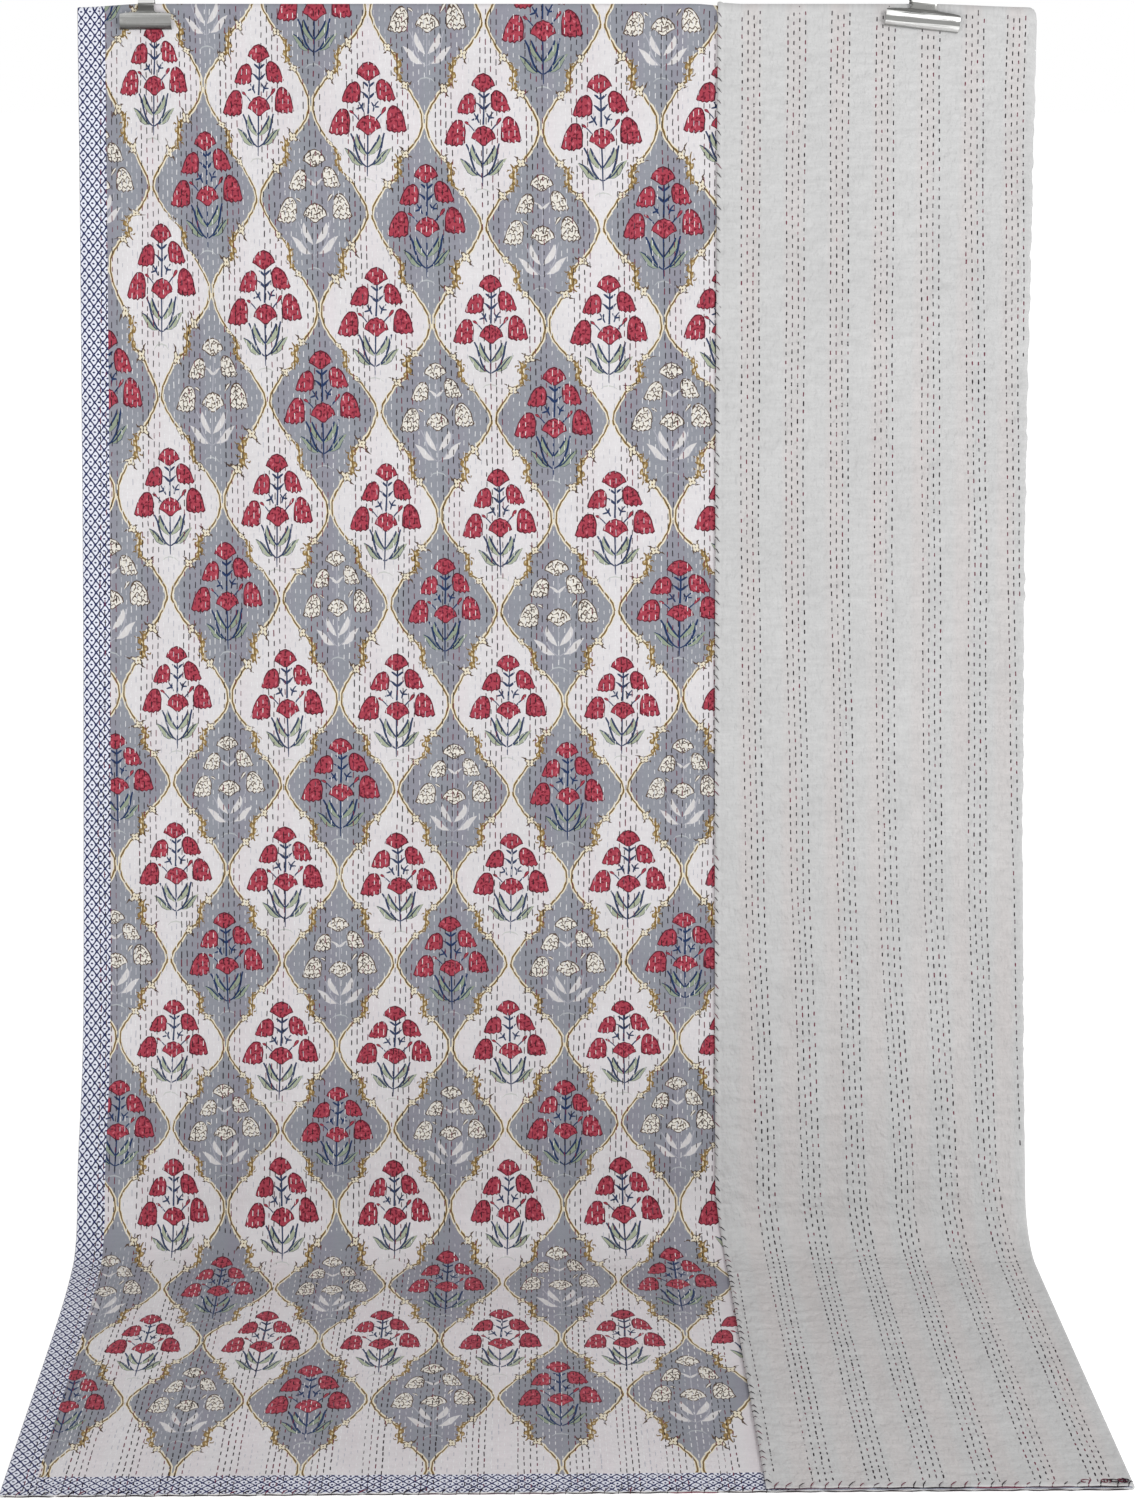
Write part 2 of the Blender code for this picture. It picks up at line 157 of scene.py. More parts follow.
PRINT_SEED, FRONT_SEED, REVERSE_SEED, OVERCAST_SEED = 3, 11, 23, 5

# Bands of dark running stitch: place across of each band's middle at five levels under the fold
DARK_LEVELS = (0.09, 0.59, 0.96, 1.40, 1.885)
DARK_BANDS = (
    (0.036, 0.031, 0.027, 0.033, 0.031), (0.084, 0.082, 0.076, 0.080, 0.071),
    (0.130, 0.132, 0.127, 0.128, 0.122), (0.178, 0.183, 0.177, 0.179, 0.168),
    (0.227, 0.234, 0.231, 0.230, 0.223), (0.277, 0.285, 0.282, 0.280, 0.273),
    (0.329, 0.338, 0.334, 0.331, 0.319), (0.382, 0.389, 0.387, 0.381, 0.371),
    (0.434, 0.443, 0.441, 0.433, 0.425), (0.488, 0.496, 0.493, 0.484, 0.476),
    (0.542, 0.550, 0.547, 0.537, 0.530), (0.596, 0.604, 0.602, 0.589, 0.583),
    (0.650, 0.658, 0.657, 0.643, 0.634), (0.704, 0.714, 0.712, 0.697, 0.683),
    (0.755, 0.758, 0.757, 0.748, 0.736),
)
FLAP_LEVELS = (0.09, 0.65, 1.07, 1.39, 1.50)
FLAP_BANDS = (
    (1.481, 1.479, 1.472, 1.459, 1.461), (1.427, 1.425, 1.416, 1.405, 1.404),
    (1.375, 1.370, 1.360, 1.351, 1.347), (1.321, 1.316, 1.309, 1.291, 1.290),
    (1.267, 1.257, 1.253, 1.237, 1.232), (1.215, 1.200, 1.198, 1.188, 1.175),
    (1.166, 1.152, 1.142, 1.137, 1.120),
)
FLAP_EDGE_ROW = dict(across=1.510, low=1.55, high=1.97)   # one more row beside the flap's edge, at the foot
ROWS_IN_BAND = 4
ROW_PITCH = 0.0065
FLAP_ROW_PITCH = 0.0071
STITCH_PITCH = 0.0118
FRONT_STITCH = 0.0078
FLAP_STITCH = 0.0056
FLAP_PITCH = 0.0106
THREAD = 0.0013          # width of a stitch
STITCH_HEIGHT, STITCH_SUNK = 0.00050, 0.00010
ROW_ENDS = 0.004         # how far the rows keep from the cloth's ends and from the top fold
EDGE_THREAD, EDGE_RUN = 0.0006, 0.05
OVERCAST_PITCH, OVERCAST_THREAD, FOOT_THREAD = 0.0128, 0.00055, 0.00062
KNOTS = (   # place from the fold, width, height and turns of each loop
    (0.004, 0.0022, 0.0026, 1.2), (0.009, 0.0034, 0.0024, 1.6), (0.017, 0.0050, 0.0020, 1.1),
    (0.026, 0.0042, 0.0028, 1.3), (0.047, 0.0038, 0.0024, 0.9), (0.0065, 0.0020, 0.0034, 1.4),
)


# ---------------------------------------------------------------- folding the flat cloth

def walk(distance):
    """Follows the cloth's side view and returns (forward, up, heading) at each distance."""
    left = np.array(distance, float)
    forward, up = np.zeros_like(left), np.zeros_like(left)
    heading = np.full_like(left, CLOTH_LEGS[0][1])
    for index, (length, start, end) in enumerate(CLOTH_LEGS):
        part = np.minimum(left, length) if index == 0 else np.clip(left, 0.0, length)
        turned = start + (end - start) * part / length
        if start == end:
            forward += part * math.sin(start)
            up -= part * math.cos(start)
        else:
            radius = length / (end - start)
            forward += radius * (math.cos(start) - np.cos(turned))
            up -= radius * (np.sin(turned) - math.sin(start))
        heading = np.where(left > 0, turned, heading)
        left = left - part
    return forward, up, heading


FLOOR_DROP = float(walk(FLOOR_START)[1])


def smooth(low, high, value):
    """An eased share from 0 at low to 1 at high."""
    share = np.clip((value - low) / (high - low), 0.0, 1.0)
    return share * share * (3 - 2 * share)


def puff(across):
    """From -1 on a band of dark stitching to 1 midway between two bands."""
    return -np.cos(FULL_TURN * (across - FIRST_BAND) / BAND_PITCH)


def side_fold(across, depth):
    """Folds the flap over at the right side: (x, height in the stack)."""
    reach = SIDE_FOLD_RADIUS - depth
    turn = np.clip((across - FOLD_START) / SIDE_ARC, 0.0, 1.0) * math.pi
    x = LEFT_EDGE + np.minimum(across, FOLD_START) + reach * np.sin(turn) - np.maximum(across - FOLD_END, 0.0)
    return x, SIDE_FOLD_RADIUS - reach * np.cos(turn)


def top_drop(x):
    """How far the top edge hangs lower: outside the clips, under the flap and at its corner."""
    outside = smooth(CLIPS[0]["x"], LEFT_EDGE, x) + smooth(CLIPS[1]["x"], -LEFT_EDGE, x)
    under_flap = smooth(FLAP_EDGE - STEP_SPREAD, FLAP_EDGE + STEP_SPREAD, x) * (STACK - THICKNESS)
    into_corner = np.clip(x + LEFT_EDGE + CORNER_RADIUS, 0.0, CORNER_RADIUS)
    corner = CORNER_RADIUS - np.sqrt(CORNER_RADIUS ** 2 - into_corner ** 2)
    return END_DROOP * outside + under_flap + corner


def sway(x, along):
    """How far the hanging cloth sways out or in."""
    wave = sum(row["share"] * np.sin(FULL_TURN * (x * row["across"] + along * row["along"] + row["start"]))
               for row in SWAY_WAVES)
    hanging = smooth(*SWAY_TOP, along - HANG_START) * smooth(0.0, SWAY_FOOT, BEND_START - along)
    return SWAY * wave * hanging


def sideways(x, across, along):
    """How far the cloth is drawn aside and ahead, by its waist, its bend and its end on the floor."""
    share = (x - LEFT_EDGE) / FOLDED_WIDTH
    down = np.clip((along - APEX) / VISIBLE_LENGTH, 0.0, 1.0)
    past_bend = np.clip((along - BEND_START) / (QUILT_LENGTH - BEND_START), 0.0, 1.0)
    waist = WAIST * np.sin(math.pi * down) * share ** 5
    near_bend = np.exp(-((along - BEND_START) / SWAY_FOOT * 2) ** 2)
    spread = BEND_SPREAD * near_bend * np.maximum(0.0, 1 - share) ** 4
    into_flap = np.maximum(0.0, across - FOLD_END) / FLAP_WIDTH
    draw = FLAP_DRAW * into_flap * smooth(-SWAY_FOOT / 2, 0.0, along - FLOOR_START)
    return FLOOR_SWING * past_bend - waist - spread + draw, FOOT_SKEW * (0.5 - share) * past_bend


def fold(across, along, depth):
    """Places points of the flat cloth in the hung and folded cover, as rows of x, y, z."""
    across, along, depth = np.broadcast_arrays(*(np.asarray(v, float) for v in (across, along, depth)))
    x, stack = side_fold(across, depth)
    forward, up, heading = walk(along)
    out = stack + sway(x, along)
    near_top = 1 - smooth(0.0, TOP_LEVEL, np.abs(along - APEX))
    aside, ahead = sideways(x, across, along)
    forward = forward + out * np.cos(heading) + ahead
    up = up + out * np.sin(heading) - FLOOR_DROP - top_drop(x) * near_top
    return np.stack((x + aside + PLACED[0], PLACED[1] - forward, up), -1)


def unpressed(along):
    """From 0 where the top fold presses the cloth flat to 1 away from it."""
    return smooth(*PRESSED_FLAT, np.abs(along - APEX))


def off_floor(across, along):
    """From 0 where the reverse lies on the floor to 1 where it hangs, and 1 on the flap."""
    return np.where(across > FOLD_END, 1.0, smooth(0.0, SWAY_FOOT, BEND_START - along))


def printed_face(across, along):
    """Depth of the printed face in the folded cover."""
    return THICKNESS + PUFF * puff(across) * unpressed(along)


def reverse_face(across, along):
    """Depth of the plain reverse."""
    return -PUFF * puff(across) * unpressed(along) * off_floor(across, along)


def outward(face, across, along, step=0.0004):
    """Unit normals of a folded face, on the printed side."""

    def at(a, b):
        return fold(a, b, face(a, b))

    east = at(across + step, along) - at(across - step, along)
    south = at(across, along + step) - at(across, along - step)
    normal = np.cross(south, east)
    return normal / np.linalg.norm(normal, axis=-1, keepdims=True)


# ---------------------------------------------------------------- meshes from arrays

def triangle_mesh(name, points, triangles, slots, materials, normals=None, maps=()):
    """A smooth-shaded mesh object from arrays. maps is rows of (name, place of each point)."""
    mesh = bpy.data.meshes.new(name)
    mesh.vertices.add(len(points))
    mesh.vertices.foreach_set("co", np.asarray(points, np.float32).ravel())
    mesh.loops.add(3 * len(triangles))
    mesh.loops.foreach_set("vertex_index", np.asarray(triangles, np.int32).ravel())
    mesh.polygons.add(len(triangles))
    mesh.polygons.foreach_set("loop_start", np.arange(0, 3 * len(triangles), 3, dtype=np.int32))
    mesh.polygons.foreach_set("material_index", np.asarray(slots, np.int32))
    mesh.polygons.foreach_set("use_smooth", np.ones(len(triangles), bool))
    for map_name, places in maps:
        layer = mesh.uv_layers.new(name=map_name)
        layer.data.foreach_set("uv", np.asarray(places, np.float32)[np.asarray(triangles).ravel()].ravel())
    mesh.update(calc_edges=True)
    for material in materials:
        mesh.materials.append(material)
    if normals is not None:
        mesh.normals_split_custom_set_from_vertices(np.asarray(normals, np.float32).tolist())
    piece = bpy.data.objects.new(name, mesh)
    bpy.context.scene.collection.objects.link(piece)
    return piece


def filled(places):
    """Places stretched to fill the square from 0 to 1."""
    low, high = places.min(0), places.max(0)
    return (places - low) / (high - low)


def cloth_mesh(name, flat, triangles, slots, materials, face):
    """Folds a flat triangulated piece of cloth; its triangles run clockwise as seen on the printed side."""
    across, along = flat[:, 0], flat[:, 1]
    points = fold(across, along, face(across, along))
    return triangle_mesh(name, points, triangles[:, ::-1], slots, materials, outward(face, across, along),
                         (("cloth", flat), ("OFBake", filled(flat))))


def grid(columns, rows):
    """Flat points and triangles of a grid."""
    a, b = np.meshgrid(columns, rows, indexing="ij")
    flat = np.stack((a.ravel(), b.ravel()), 1)
    i, j = np.meshgrid(np.arange(len(columns) - 1), np.arange(len(rows) - 1), indexing="ij")
    corner = (i * len(rows) + j).ravel()
    wide = len(rows)
    first = np.stack((corner, corner + wide, corner + wide + 1), 1)
    second = np.stack((corner, corner + wide + 1, corner + 1), 1)
    return flat, np.concatenate((first, second))


def steps(ends, lengths):
    """Places between ends, each stretch in steps of about its own length."""
    runs = [np.linspace(low, high, max(1, round((high - low) / size)) + 1)[:-1]
            for low, high, size in zip(ends, ends[1:], lengths)]
    return np.concatenate(runs + [ends[-1:]])


# ---------------------------------------------------------------- drawing the print

def turned(points, x=0.0, y=0.0, angle=0.0, flip_x=1, flip_y=1):
    """Points turned by an angle in degrees, mirrored and moved."""
    c, s = math.cos(math.radians(angle)), math.sin(math.radians(angle))
    p = np.asarray(points, float) @ np.array(((c, s), (-s, c)))
    return p * (flip_x, flip_y) + (x, y)


def beside(line):
    """Unit vectors square to a line of points."""
    course = np.gradient(line, axis=0)
    course /= np.linalg.norm(course, axis=1, keepdims=True)
    return np.stack((-course[:, 1], course[:, 0]), 1)


def stroke(points, widths):
    """The outline of a brush line through points, as wide at each as widths says."""
    line = np.asarray(points, float)
    side = beside(line) * np.broadcast_to(widths, len(line))[:, None] / 2
    return np.concatenate((line + side, (line - side)[::-1]))


def between(a, b, c, d, t):
    """A smooth value the share t of the way from b to c; a and d are the values beyond them."""
    return b + 0.5 * t * (c - a + t * (2 * a - 5 * b + 4 * c - d + t * (3 * (b - c) + d - a)))


def curve(points, count):
    """More points along a smooth line through the given ones."""
    line = np.asarray(points, float)
    at = np.linspace(0, len(line) - 1, count)
    low = np.minimum(at.astype(int), len(line) - 2)
    t = (at - low)[:, None]
    padded = np.concatenate((2 * line[:1] - line[1:2], line, 2 * line[-1:] - line[-2:-1]))
    return between(*(padded[low + k] for k in range(4)), t)


def leaf(points, width, count=6):
    """A pointed leaf along a line of points."""
    line = curve(points, count)
    shares = np.linspace(0, 1, count)
    return stroke(line, 0.25 + width * np.sin(math.pi * shares ** 0.85) ** 0.8)


def brush(points, widths, count=5):
    """A smooth brush line, its widths spread evenly along it."""
    places = np.linspace(0, 1, count)
    return stroke(curve(points, count), np.interp(places, np.linspace(0, 1, len(widths)), widths))


def oval(wide, high, count=7):
    """The outline of an oval with a few corners."""
    ring = np.arange(count) * FULL_TURN / count
    return np.stack((np.cos(ring) * wide / 2, np.sin(ring) * high / 2), 1)


BELL_SIDE = (   # how far down a bell, and how wide it is there
    (0.0, 0.0), (0.03, 0.27), (0.11, 0.50), (0.24, 0.71), (0.43, 0.86), (0.70, 0.93), (0.86, 1.0),
)


def bell(wide, high, lean, lobes=4):
    """A bell-shaped flower, mouth down; lean is how far its top stands aside of its mouth."""
    fall, width = np.array(BELL_SIDE).T
    half = wide / 2 * width
    side = np.stack((half, (fall - 0.5) * high), 1)
    m = np.linspace(1, -1, 2 * lobes + 1)[1:-1]
    scallop = 1.5 * (np.abs(np.sin(math.pi * lobes * (m + 1) / 2)) - 0.5)
    mouth = np.stack((m * wide / 2 * 0.93, high * (0.48 - 0.09 * m * m) + scallop), 1)
    outline = np.concatenate((side, mouth, (side * (-1, 1))[:0:-1]))
    outline[:, 0] -= lean * outline[:, 1] / high
    return outline


def fan(wide, high, lobes=5):
    """A flower seen from the side: a scalloped crown over a narrow, flat-bottomed cup."""
    t = np.linspace(0, 1, 2 * lobes + 1)
    scallop = 1 + 0.05 * (np.abs(np.sin(math.pi * lobes * t)) - 0.5)
    aside = np.cos(math.pi * t)
    aside = -aside * (0.80 + 0.20 * np.abs(aside) ** 6) * wide / 2
    crown = np.stack((aside, high * (0.10 - 0.60 * np.sin(math.pi * t) ** 0.90 * scallop)), 1)
    cup = np.array(((0.33, 0.20), (0.20, 0.32), (0.07, 0.45), (-0.07, 0.45), (-0.21, 0.31), (-0.34, 0.19)))
    return np.concatenate((crown, cup * (wide, high)))


FLOWERS = (   # kind, place, size, and how far a bell's top stands aside
    dict(kind=fan, x=-0.8, y=-40.6, wide=21.8, high=16.8, lean=None),
    dict(kind=bell, x=-15.6, y=-21.8, wide=16.8, high=18.6, lean=4.6),
    dict(kind=bell, x=15.2, y=-24.6, wide=16.6, high=19.2, lean=-5.6),
    dict(kind=bell, x=-26.0, y=5.0, wide=18.8, high=23.4, lean=4.2),
    dict(kind=bell, x=26.2, y=1.2, wide=19.0, high=23.4, lean=-3.8),
    dict(kind=fan, x=0.4, y=7.4, wide=23.0, high=18.0, lean=None),
)
STEMS = (   # points and widths of the brush lines
    (((0.2, -34), (0.4, -20), (0, -3)), (1.3, 1.2, 1.5)),
    (((0, 16), (0.3, 30), (0.2, 42), (0.4, 53)), (1.2, 1.1, 1.1, 0.6)),
    (((-5.6, -31.6), (-3.4, -30.2), (0, -27.4)), (0.6, 1.9, 1.2)),
    (((5.8, -31.8), (3.6, -30.2), (0.4, -27.4)), (0.6, 1.9, 1.2)),
    (((-7.6, -22.8), (-4.6, -21.4), (-2.6, -19.4), (0, -17.2)), (0.7, 1.1, 2.2, 1.4)),
    (((6.8, -23.0), (4.8, -21.2), (3.0, -19.4), (0.4, -17.2)), (0.7, 1.2, 2.2, 1.4)),
    (((-9.2, -13.4), (-7.8, -11.0), (-6.2, -9.0), (-4.0, -4.6)), (0.9, 1.0, 1.6, 0.9)),
    (((-5.2, -12.9), (-5.6, -11.0), (-6.2, -9.0)), (0.7, 1.5, 1.4)),
    (((-11.5, -7.0), (-9.0, -7.8), (-6.4, -8.6)), (0.8, 1.5, 1.2)),
    (((9.6, -14.6), (7.6, -12.6), (5.8, -9.6), (4.7, -5.2)), (0.9, 0.9, 1.5, 0.9)),
    (((3.0, -13.6), (4.2, -11.6), (5.6, -9.6)), (0.7, 1.3, 1.2)),
    (((10.4, -9.4), (8.2, -9.6), (6.0, -9.2)), (0.8, 1.4, 1.1)),
    (((-14.2, -3.0), (-11.4, -0.4), (-8.8, 2.6)), (0.9, 0.8, 0.9)),
    (((13.2, -3.8), (10.8, -1.6), (8.0, 1.8)), (1.2, 1.0, 1.1)),
    (((-16.4, 14.8), (-12.6, 22.3), (-10.2, 32.3), (-5.6, 40.6), (-0.6, 44.5)), (1.2, 1.5, 1.6, 1.4, 0.9)),
    (((15.8, 13.6), (14.0, 20.8), (12.2, 30.8), (6.9, 40.4), (1.0, 44.5)), (1.2, 1.6, 1.6, 1.4, 0.9)),
    (((-10.6, 15.2), (-8.2, 21.0), (-4.6, 27.4), (0, 33.4)), (0.9, 1.8, 1.4, 1.0)),
    (((11.2, 15.4), (10.0, 19.6), (5.6, 26.4), (0.8, 32.8)), (1.1, 1.6, 1.2, 1.0)),
    (((-21.6, 28.2), (-16.0, 31.4), (-10.6, 38.2), (-5.2, 43.0)), (0.6, 1.1, 1.2, 0.8)),
    (((19.8, 28.4), (15.4, 32.8), (11.4, 38.4), (6.2, 42.4)), (0.6, 1.0, 1.1, 0.8)),
)
STEM_WEIGHT = 1.3
LEAVES = (   # points along each leaf and its width
    (((-1.2, 34.8), (-6.6, 27.8), (-10.0, 21.4), (-10.6, 15.6)), 4.6),
    (((1.2, 34.4), (7.4, 27.8), (11.2, 21.2), (11.4, 15.4)), 5.4),
    (((-3.6, 43.4), (-11.2, 39.8), (-16.0, 33.4), (-22.4, 28.0)), 5.2),
    (((4.8, 43.0), (12.6, 38.4), (16.8, 32.4), (23.2, 27.0)), 5.6),
)
BUDS = (   # points along each bud and its width
    (((-18.4, -5.4), (-15.8, -4.4), (-13.4, -2.4)), 2.6),
    (((17.4, -9.8), (15.2, -7.2), (12.4, -2.6)), 3.4),
)
FAINT_ARC = (((-8.0, 59.0), (-5, 56.2), (0, 55.2), (5, 56.4), (8.0, 59.0)), (0.5, 1.1, 1.4, 1.1, 0.5))
QUARTER = (   # one quarter of a white cell's outline, from its side tip to its neck
    (53.8, 0), (53.5, 5), (52.0, 10), (49.6, 15), (46.4, 19.5), (43.2, 24), (40.2, 28), (37.2, 31.2),
    (33.6, 34.0), (31.0, 37.0), (29.8, 41), (30.0, 46), (29.8, 51), (27.6, 55), (24.2, 58.2),
    (20.2, 61.4), (16.6, 65.5), (13.2, 70), (10.4, 74.5), (7.2, 79), (4.6, 84), (2.9, 88),
    (2.2, HALF_CELL),
)
OUTLINE_STEP = 3.7
BLOSSOMS = (dict(x=37.2, y=31.2, angle=38), dict(x=19.4, y=62.0, angle=50))
SCROLL = dict(x=29.4, y=46.4)
SCROLL_SPINE = (((-1.6, -13.5), (0.6, -9), (-0.8, -4), (0.8, 1), (-0.8, 6), (0.6, 12)),
                (1.0, 2.6, 2.2, 2.6, 2.2, 1.0))
SCROLL_LOBES = (   # rounded leaves stacked on the spine: place, size, turn
    dict(x=1.6, y=-8.6, wide=4.4, high=5.8, angle=-20), dict(x=-1.5, y=-3.2, wide=4.0, high=5.4, angle=18),
    dict(x=1.7, y=2.2, wide=4.6, high=6.0, angle=-16), dict(x=-1.6, y=7.6, wide=3.8, high=4.8, angle=20),
)
SCROLL_HOOKS = (
    (((1.4, -12.0), (3.8, -13.0), (5.0, -11.2)), (1.6, 1.2, 0.5)),
    (((2.6, -4.4), (5.0, -5.0), (5.8, -3.2)), (1.6, 1.1, 0.5)),
    (((2.4, 6.2), (4.8, 5.8), (5.8, 7.4)), (1.6, 1.1, 0.5)),
    (((-2.0, -8.0), (-4.4, -8.0), (-5.2, -6.2)), (1.6, 1.1, 0.5)),
    (((-0.8, 11.0), (-3.2, 11.8), (-4.8, 10.8)), (1.6, 1.1, 0.5)),
)
FLECK = ((-2.0, 0.2), (0.1, -1.1), (2.0, 0.3), (0.1, 1.0))
FLECK_PITCH, SCALLOP_PITCH = 4.4, 4.6


def hashed(x, y):
    """A fixed number between -1 and 1 for each place."""
    value = np.sin(np.asarray(x) * 12.9898 + np.asarray(y) * 78.233) * 43758.5453
    return 2 * (value - np.floor(value)) - 1


def carved(points, size):
    """Small unevenness of a hand-cut block, the same wherever the points are the same."""
    p = np.round(np.asarray(points, float), 3)
    shift = np.stack((hashed(p[:, 0], p[:, 1]), hashed(p[:, 1] + 7, p[:, 0])), 1)
    return p + shift * size


def flower_outline(flower, grow):
    """A flower's outline, grown by a little all round."""
    sizes = [flower["wide"] + grow, flower["high"] + grow]
    if flower["lean"] is not None:
        sizes.append(flower["lean"])
    return flower["kind"](*sizes) + (flower["x"], flower["y"])


def spots(flower, pitch, seed):
    """Jittered places spread over a flower, clear of its rim."""
    outline = flower_outline(flower, -2.2)
    low, high = outline.min(0), outline.max(0)
    a, b = np.meshgrid(np.arange(low[0] + pitch / 3, high[0], pitch),
                       np.arange(low[1] + pitch / 3, high[1], pitch * 0.86))
    a[1::2] += pitch / 2
    x, y = a.ravel(), b.ravel()
    places = np.stack((x, y), 1) + 0.30 * pitch * np.stack((hashed(x, y + seed), hashed(y - seed, x)), 1)
    return places[inside(places, outline)]


def red_flower(flower):
    """Dark rim, crimson body, darker flecks all over and a few paler ones."""
    shapes = [("crimson_rim", carved(flower_outline(flower, 1.5), 0.35)),
              ("crimson", carved(flower_outline(flower, -0.9), 0.25))]
    for index, (x, y) in enumerate(spots(flower, FLECK_PITCH, 3.0)):
        kind = "crimson_pale" if index % 5 == 2 else "crimson_dark"
        shapes.append((kind, carved(turned(FLECK, x, y, 180 * hashed(x, y)), 0.25)))
    return shapes


def ivory_flower(flower):
    """Thin brown rim, ivory body and a network of small brown scallops."""
    shapes = [("brown", carved(flower_outline(flower, 0.4), 0.35)),
              ("ivory", carved(flower_outline(flower, -1.6), 0.25))]
    scallop = stroke(((-2.3, 1.4), (0.0, -1.2), (2.3, 1.4)), (0.8, 1.4, 0.8))
    for x, y in spots(flower, SCALLOP_PITCH, 1.0):
        shapes.append(("brown", carved(turned(scallop, x, y, 40 * hashed(x, y)), 0.25)))
    return shapes


def bouquet(red, on_grey):
    """The flower spray in one cell, as shapes painted in order."""
    shapes = [("arc_grey" if on_grey else "arc_white", stroke(*FAINT_ARC))]
    if red:
        ink, green = ("ink_blue", "sage_grey") if on_grey else ("ink", "sage")
        shade = "crimson_rim"
        for points, width in LEAVES:
            shapes += [(ink, leaf(points, width + 1.0)), (green, leaf(points, width))]
        for points, widths in STEMS:
            shapes.append((ink, brush(points, np.array(widths) * STEM_WEIGHT, len(points) + 1)))
    else:
        shade = "brown"
        for points, width in LEAVES:
            shapes += [("pale_stem", leaf(points, width + 1.3)), ("pale_leaf", leaf(points, width + 0.2))]
        for kind, chosen, weight in (("pale_stem", STEMS[:2] + STEMS[14:16], 0.75), ("pale_leaf", STEMS[4:6], 1.4)):
            shapes += [(kind, brush(points, np.array(widths) * weight)) for points, widths in chosen]
    for points, width in BUDS:
        shapes.append((shade, leaf(points, width, 5)))
        shapes.append(("crimson" if red else "ivory", leaf(points, width * 0.4, 5)))
    for flower in FLOWERS:
        shapes += red_flower(flower) if red else ivory_flower(flower)
    shift = (0.8, -1.6) if on_grey else (1.8, 1.4)
    return [(kind, np.asarray(points) + shift) for kind, points in shapes]


def quarter_line(grey):
    """One quarter of a cell's outline, from its side tip to its neck, in even steps."""
    line = curve(QUARTER, 300)
    travelled = np.concatenate(((0,), np.cumsum(np.linalg.norm(np.diff(line, axis=0), axis=1))))
    places = np.linspace(0, travelled[-1], round(travelled[-1] / OUTLINE_STEP) + 1)
    line = np.stack([np.interp(places, travelled, line[:, k]) for k in (0, 1)], 1)
    return (np.array((CELL_WIDE / 2, HALF_CELL)) - line)[::-1] if grey else line


def right_side(grey):
    """The right half of a cell's outline."""
    quarter = quarter_line(grey)
    return np.concatenate((quarter[::-1] * (1, -1), quarter[1:]))


def cell_outline(grey):
    """The closed outline of a cell, the same on all four quarters."""
    right = right_side(grey)
    return np.concatenate((right, right[::-1] * (-1, 1)))


def line_band(grey, far, uneven):
    """Strips along the inside of the outline, scalloped on their inner side."""
    right = right_side(grey)
    count = np.arange(len(right))
    reach = far * (1 + uneven * np.sin(count * 2.2) + 0.6 * uneven * np.sin(count * 1.0 + 1))
    band = np.concatenate((right, (right + beside(right) * reach[:, None])[::-1]))
    return [band, band * (-1, 1)]


def four_petals(tip, notch):
    """The outline of four round petals, starting at the notch between two of them."""
    ring = np.radians([turn + step for turn in (0, 90, 180, 270) for step in (-45, -18, 18)])
    reach = np.tile((notch, tip * 0.97, tip * 0.97), 4)
    return np.stack((np.cos(ring), np.sin(ring)), 1) * reach[:, None]


def blossom():
    """A small four-petalled blossom with a leaf at each side."""
    shapes = []
    for side in (1, -1):
        spine = ((2.6 * side, 0.4), (5.0 * side, -1.6), (7.4 * side, -0.6))
        shapes.append(("brown", leaf(spine, 1.9, 3)))
    return shapes + [("brown", four_petals(4.7, 3.2)), ("cream", four_petals(3.9, 2.0)),
                     ("olive", oval(1.7, 1.7, 5))]


def scroll():
    """A leafy scroll: hooks, a spine, and rounded leaves with a light on each."""
    shapes = [("olive", brush(points, widths, 3)) for points, widths in SCROLL_HOOKS]
    shapes.append(("olive", brush(*SCROLL_SPINE, 9)))
    for lobe in SCROLL_LOBES:
        at = dict(x=lobe["x"], y=lobe["y"], angle=lobe["angle"])
        wide, high = lobe["wide"], lobe["high"]
        light = oval(wide * 0.45, high * 0.6, 4) + (-0.5, -0.7)
        shapes += [("olive", turned(carved(oval(wide + 1.1, high + 1.1), 0.3), **at)),
                   ("gold", turned(carved(oval(wide, high), 0.3), **at)),
                   ("gold_pale", turned(light, **at))]
    return shapes


def ornaments():
    """The blossoms and leafy scrolls on one quarter of the outline, as shapes painted in order."""
    placed = [(scroll(), SCROLL)] + [(blossom(), place) for place in BLOSSOMS]
    return [(kind, turned(points, **place)) for shapes, place in placed for kind, points in shapes]


def cell_shapes(kind):
    """All shapes of a cell: "white", "white_blank", "grey_red" or "grey_ivory"."""
    grey = kind.startswith("grey")
    shapes = [("cream", band) for band in line_band(grey, 1.9 if grey else 1.7, 0.22)]
    shapes += [("olive", band) for band in line_band(grey, 0.55 if grey else 0.95, 0.35)]
    if grey:
        corners = [(CELL_WIDE / 2 * x, HALF_CELL * y, -x, -y) for x in (1, -1) for y in (1, -1)]
    else:
        corners = [(0.0, 0.0, x, y) for x in (1, -1) for y in (1, -1)]
    for x, y, flip_x, flip_y in corners:
        shapes += [(name, turned(points, x, y, 0.0, flip_x, flip_y)) for name, points in ornaments()]
    return shapes + ([] if kind == "white_blank" else bouquet(kind != "grey_ivory", grey))


def inside(points, outline):
    """Which points lie in a closed outline."""
    x, y = points[:, 0][:, None], points[:, 1][:, None]
    ax, ay = outline[:, 0], outline[:, 1]
    bx, by = np.roll(ax, -1), np.roll(ay, -1)
    crosses = (ay > y) != (by > y)
    where = ax + (y - ay) * (bx - ax) / np.where(by == ay, 1.0, by - ay)
    return (np.sum(crosses & (x < where), axis=1) % 2) == 1


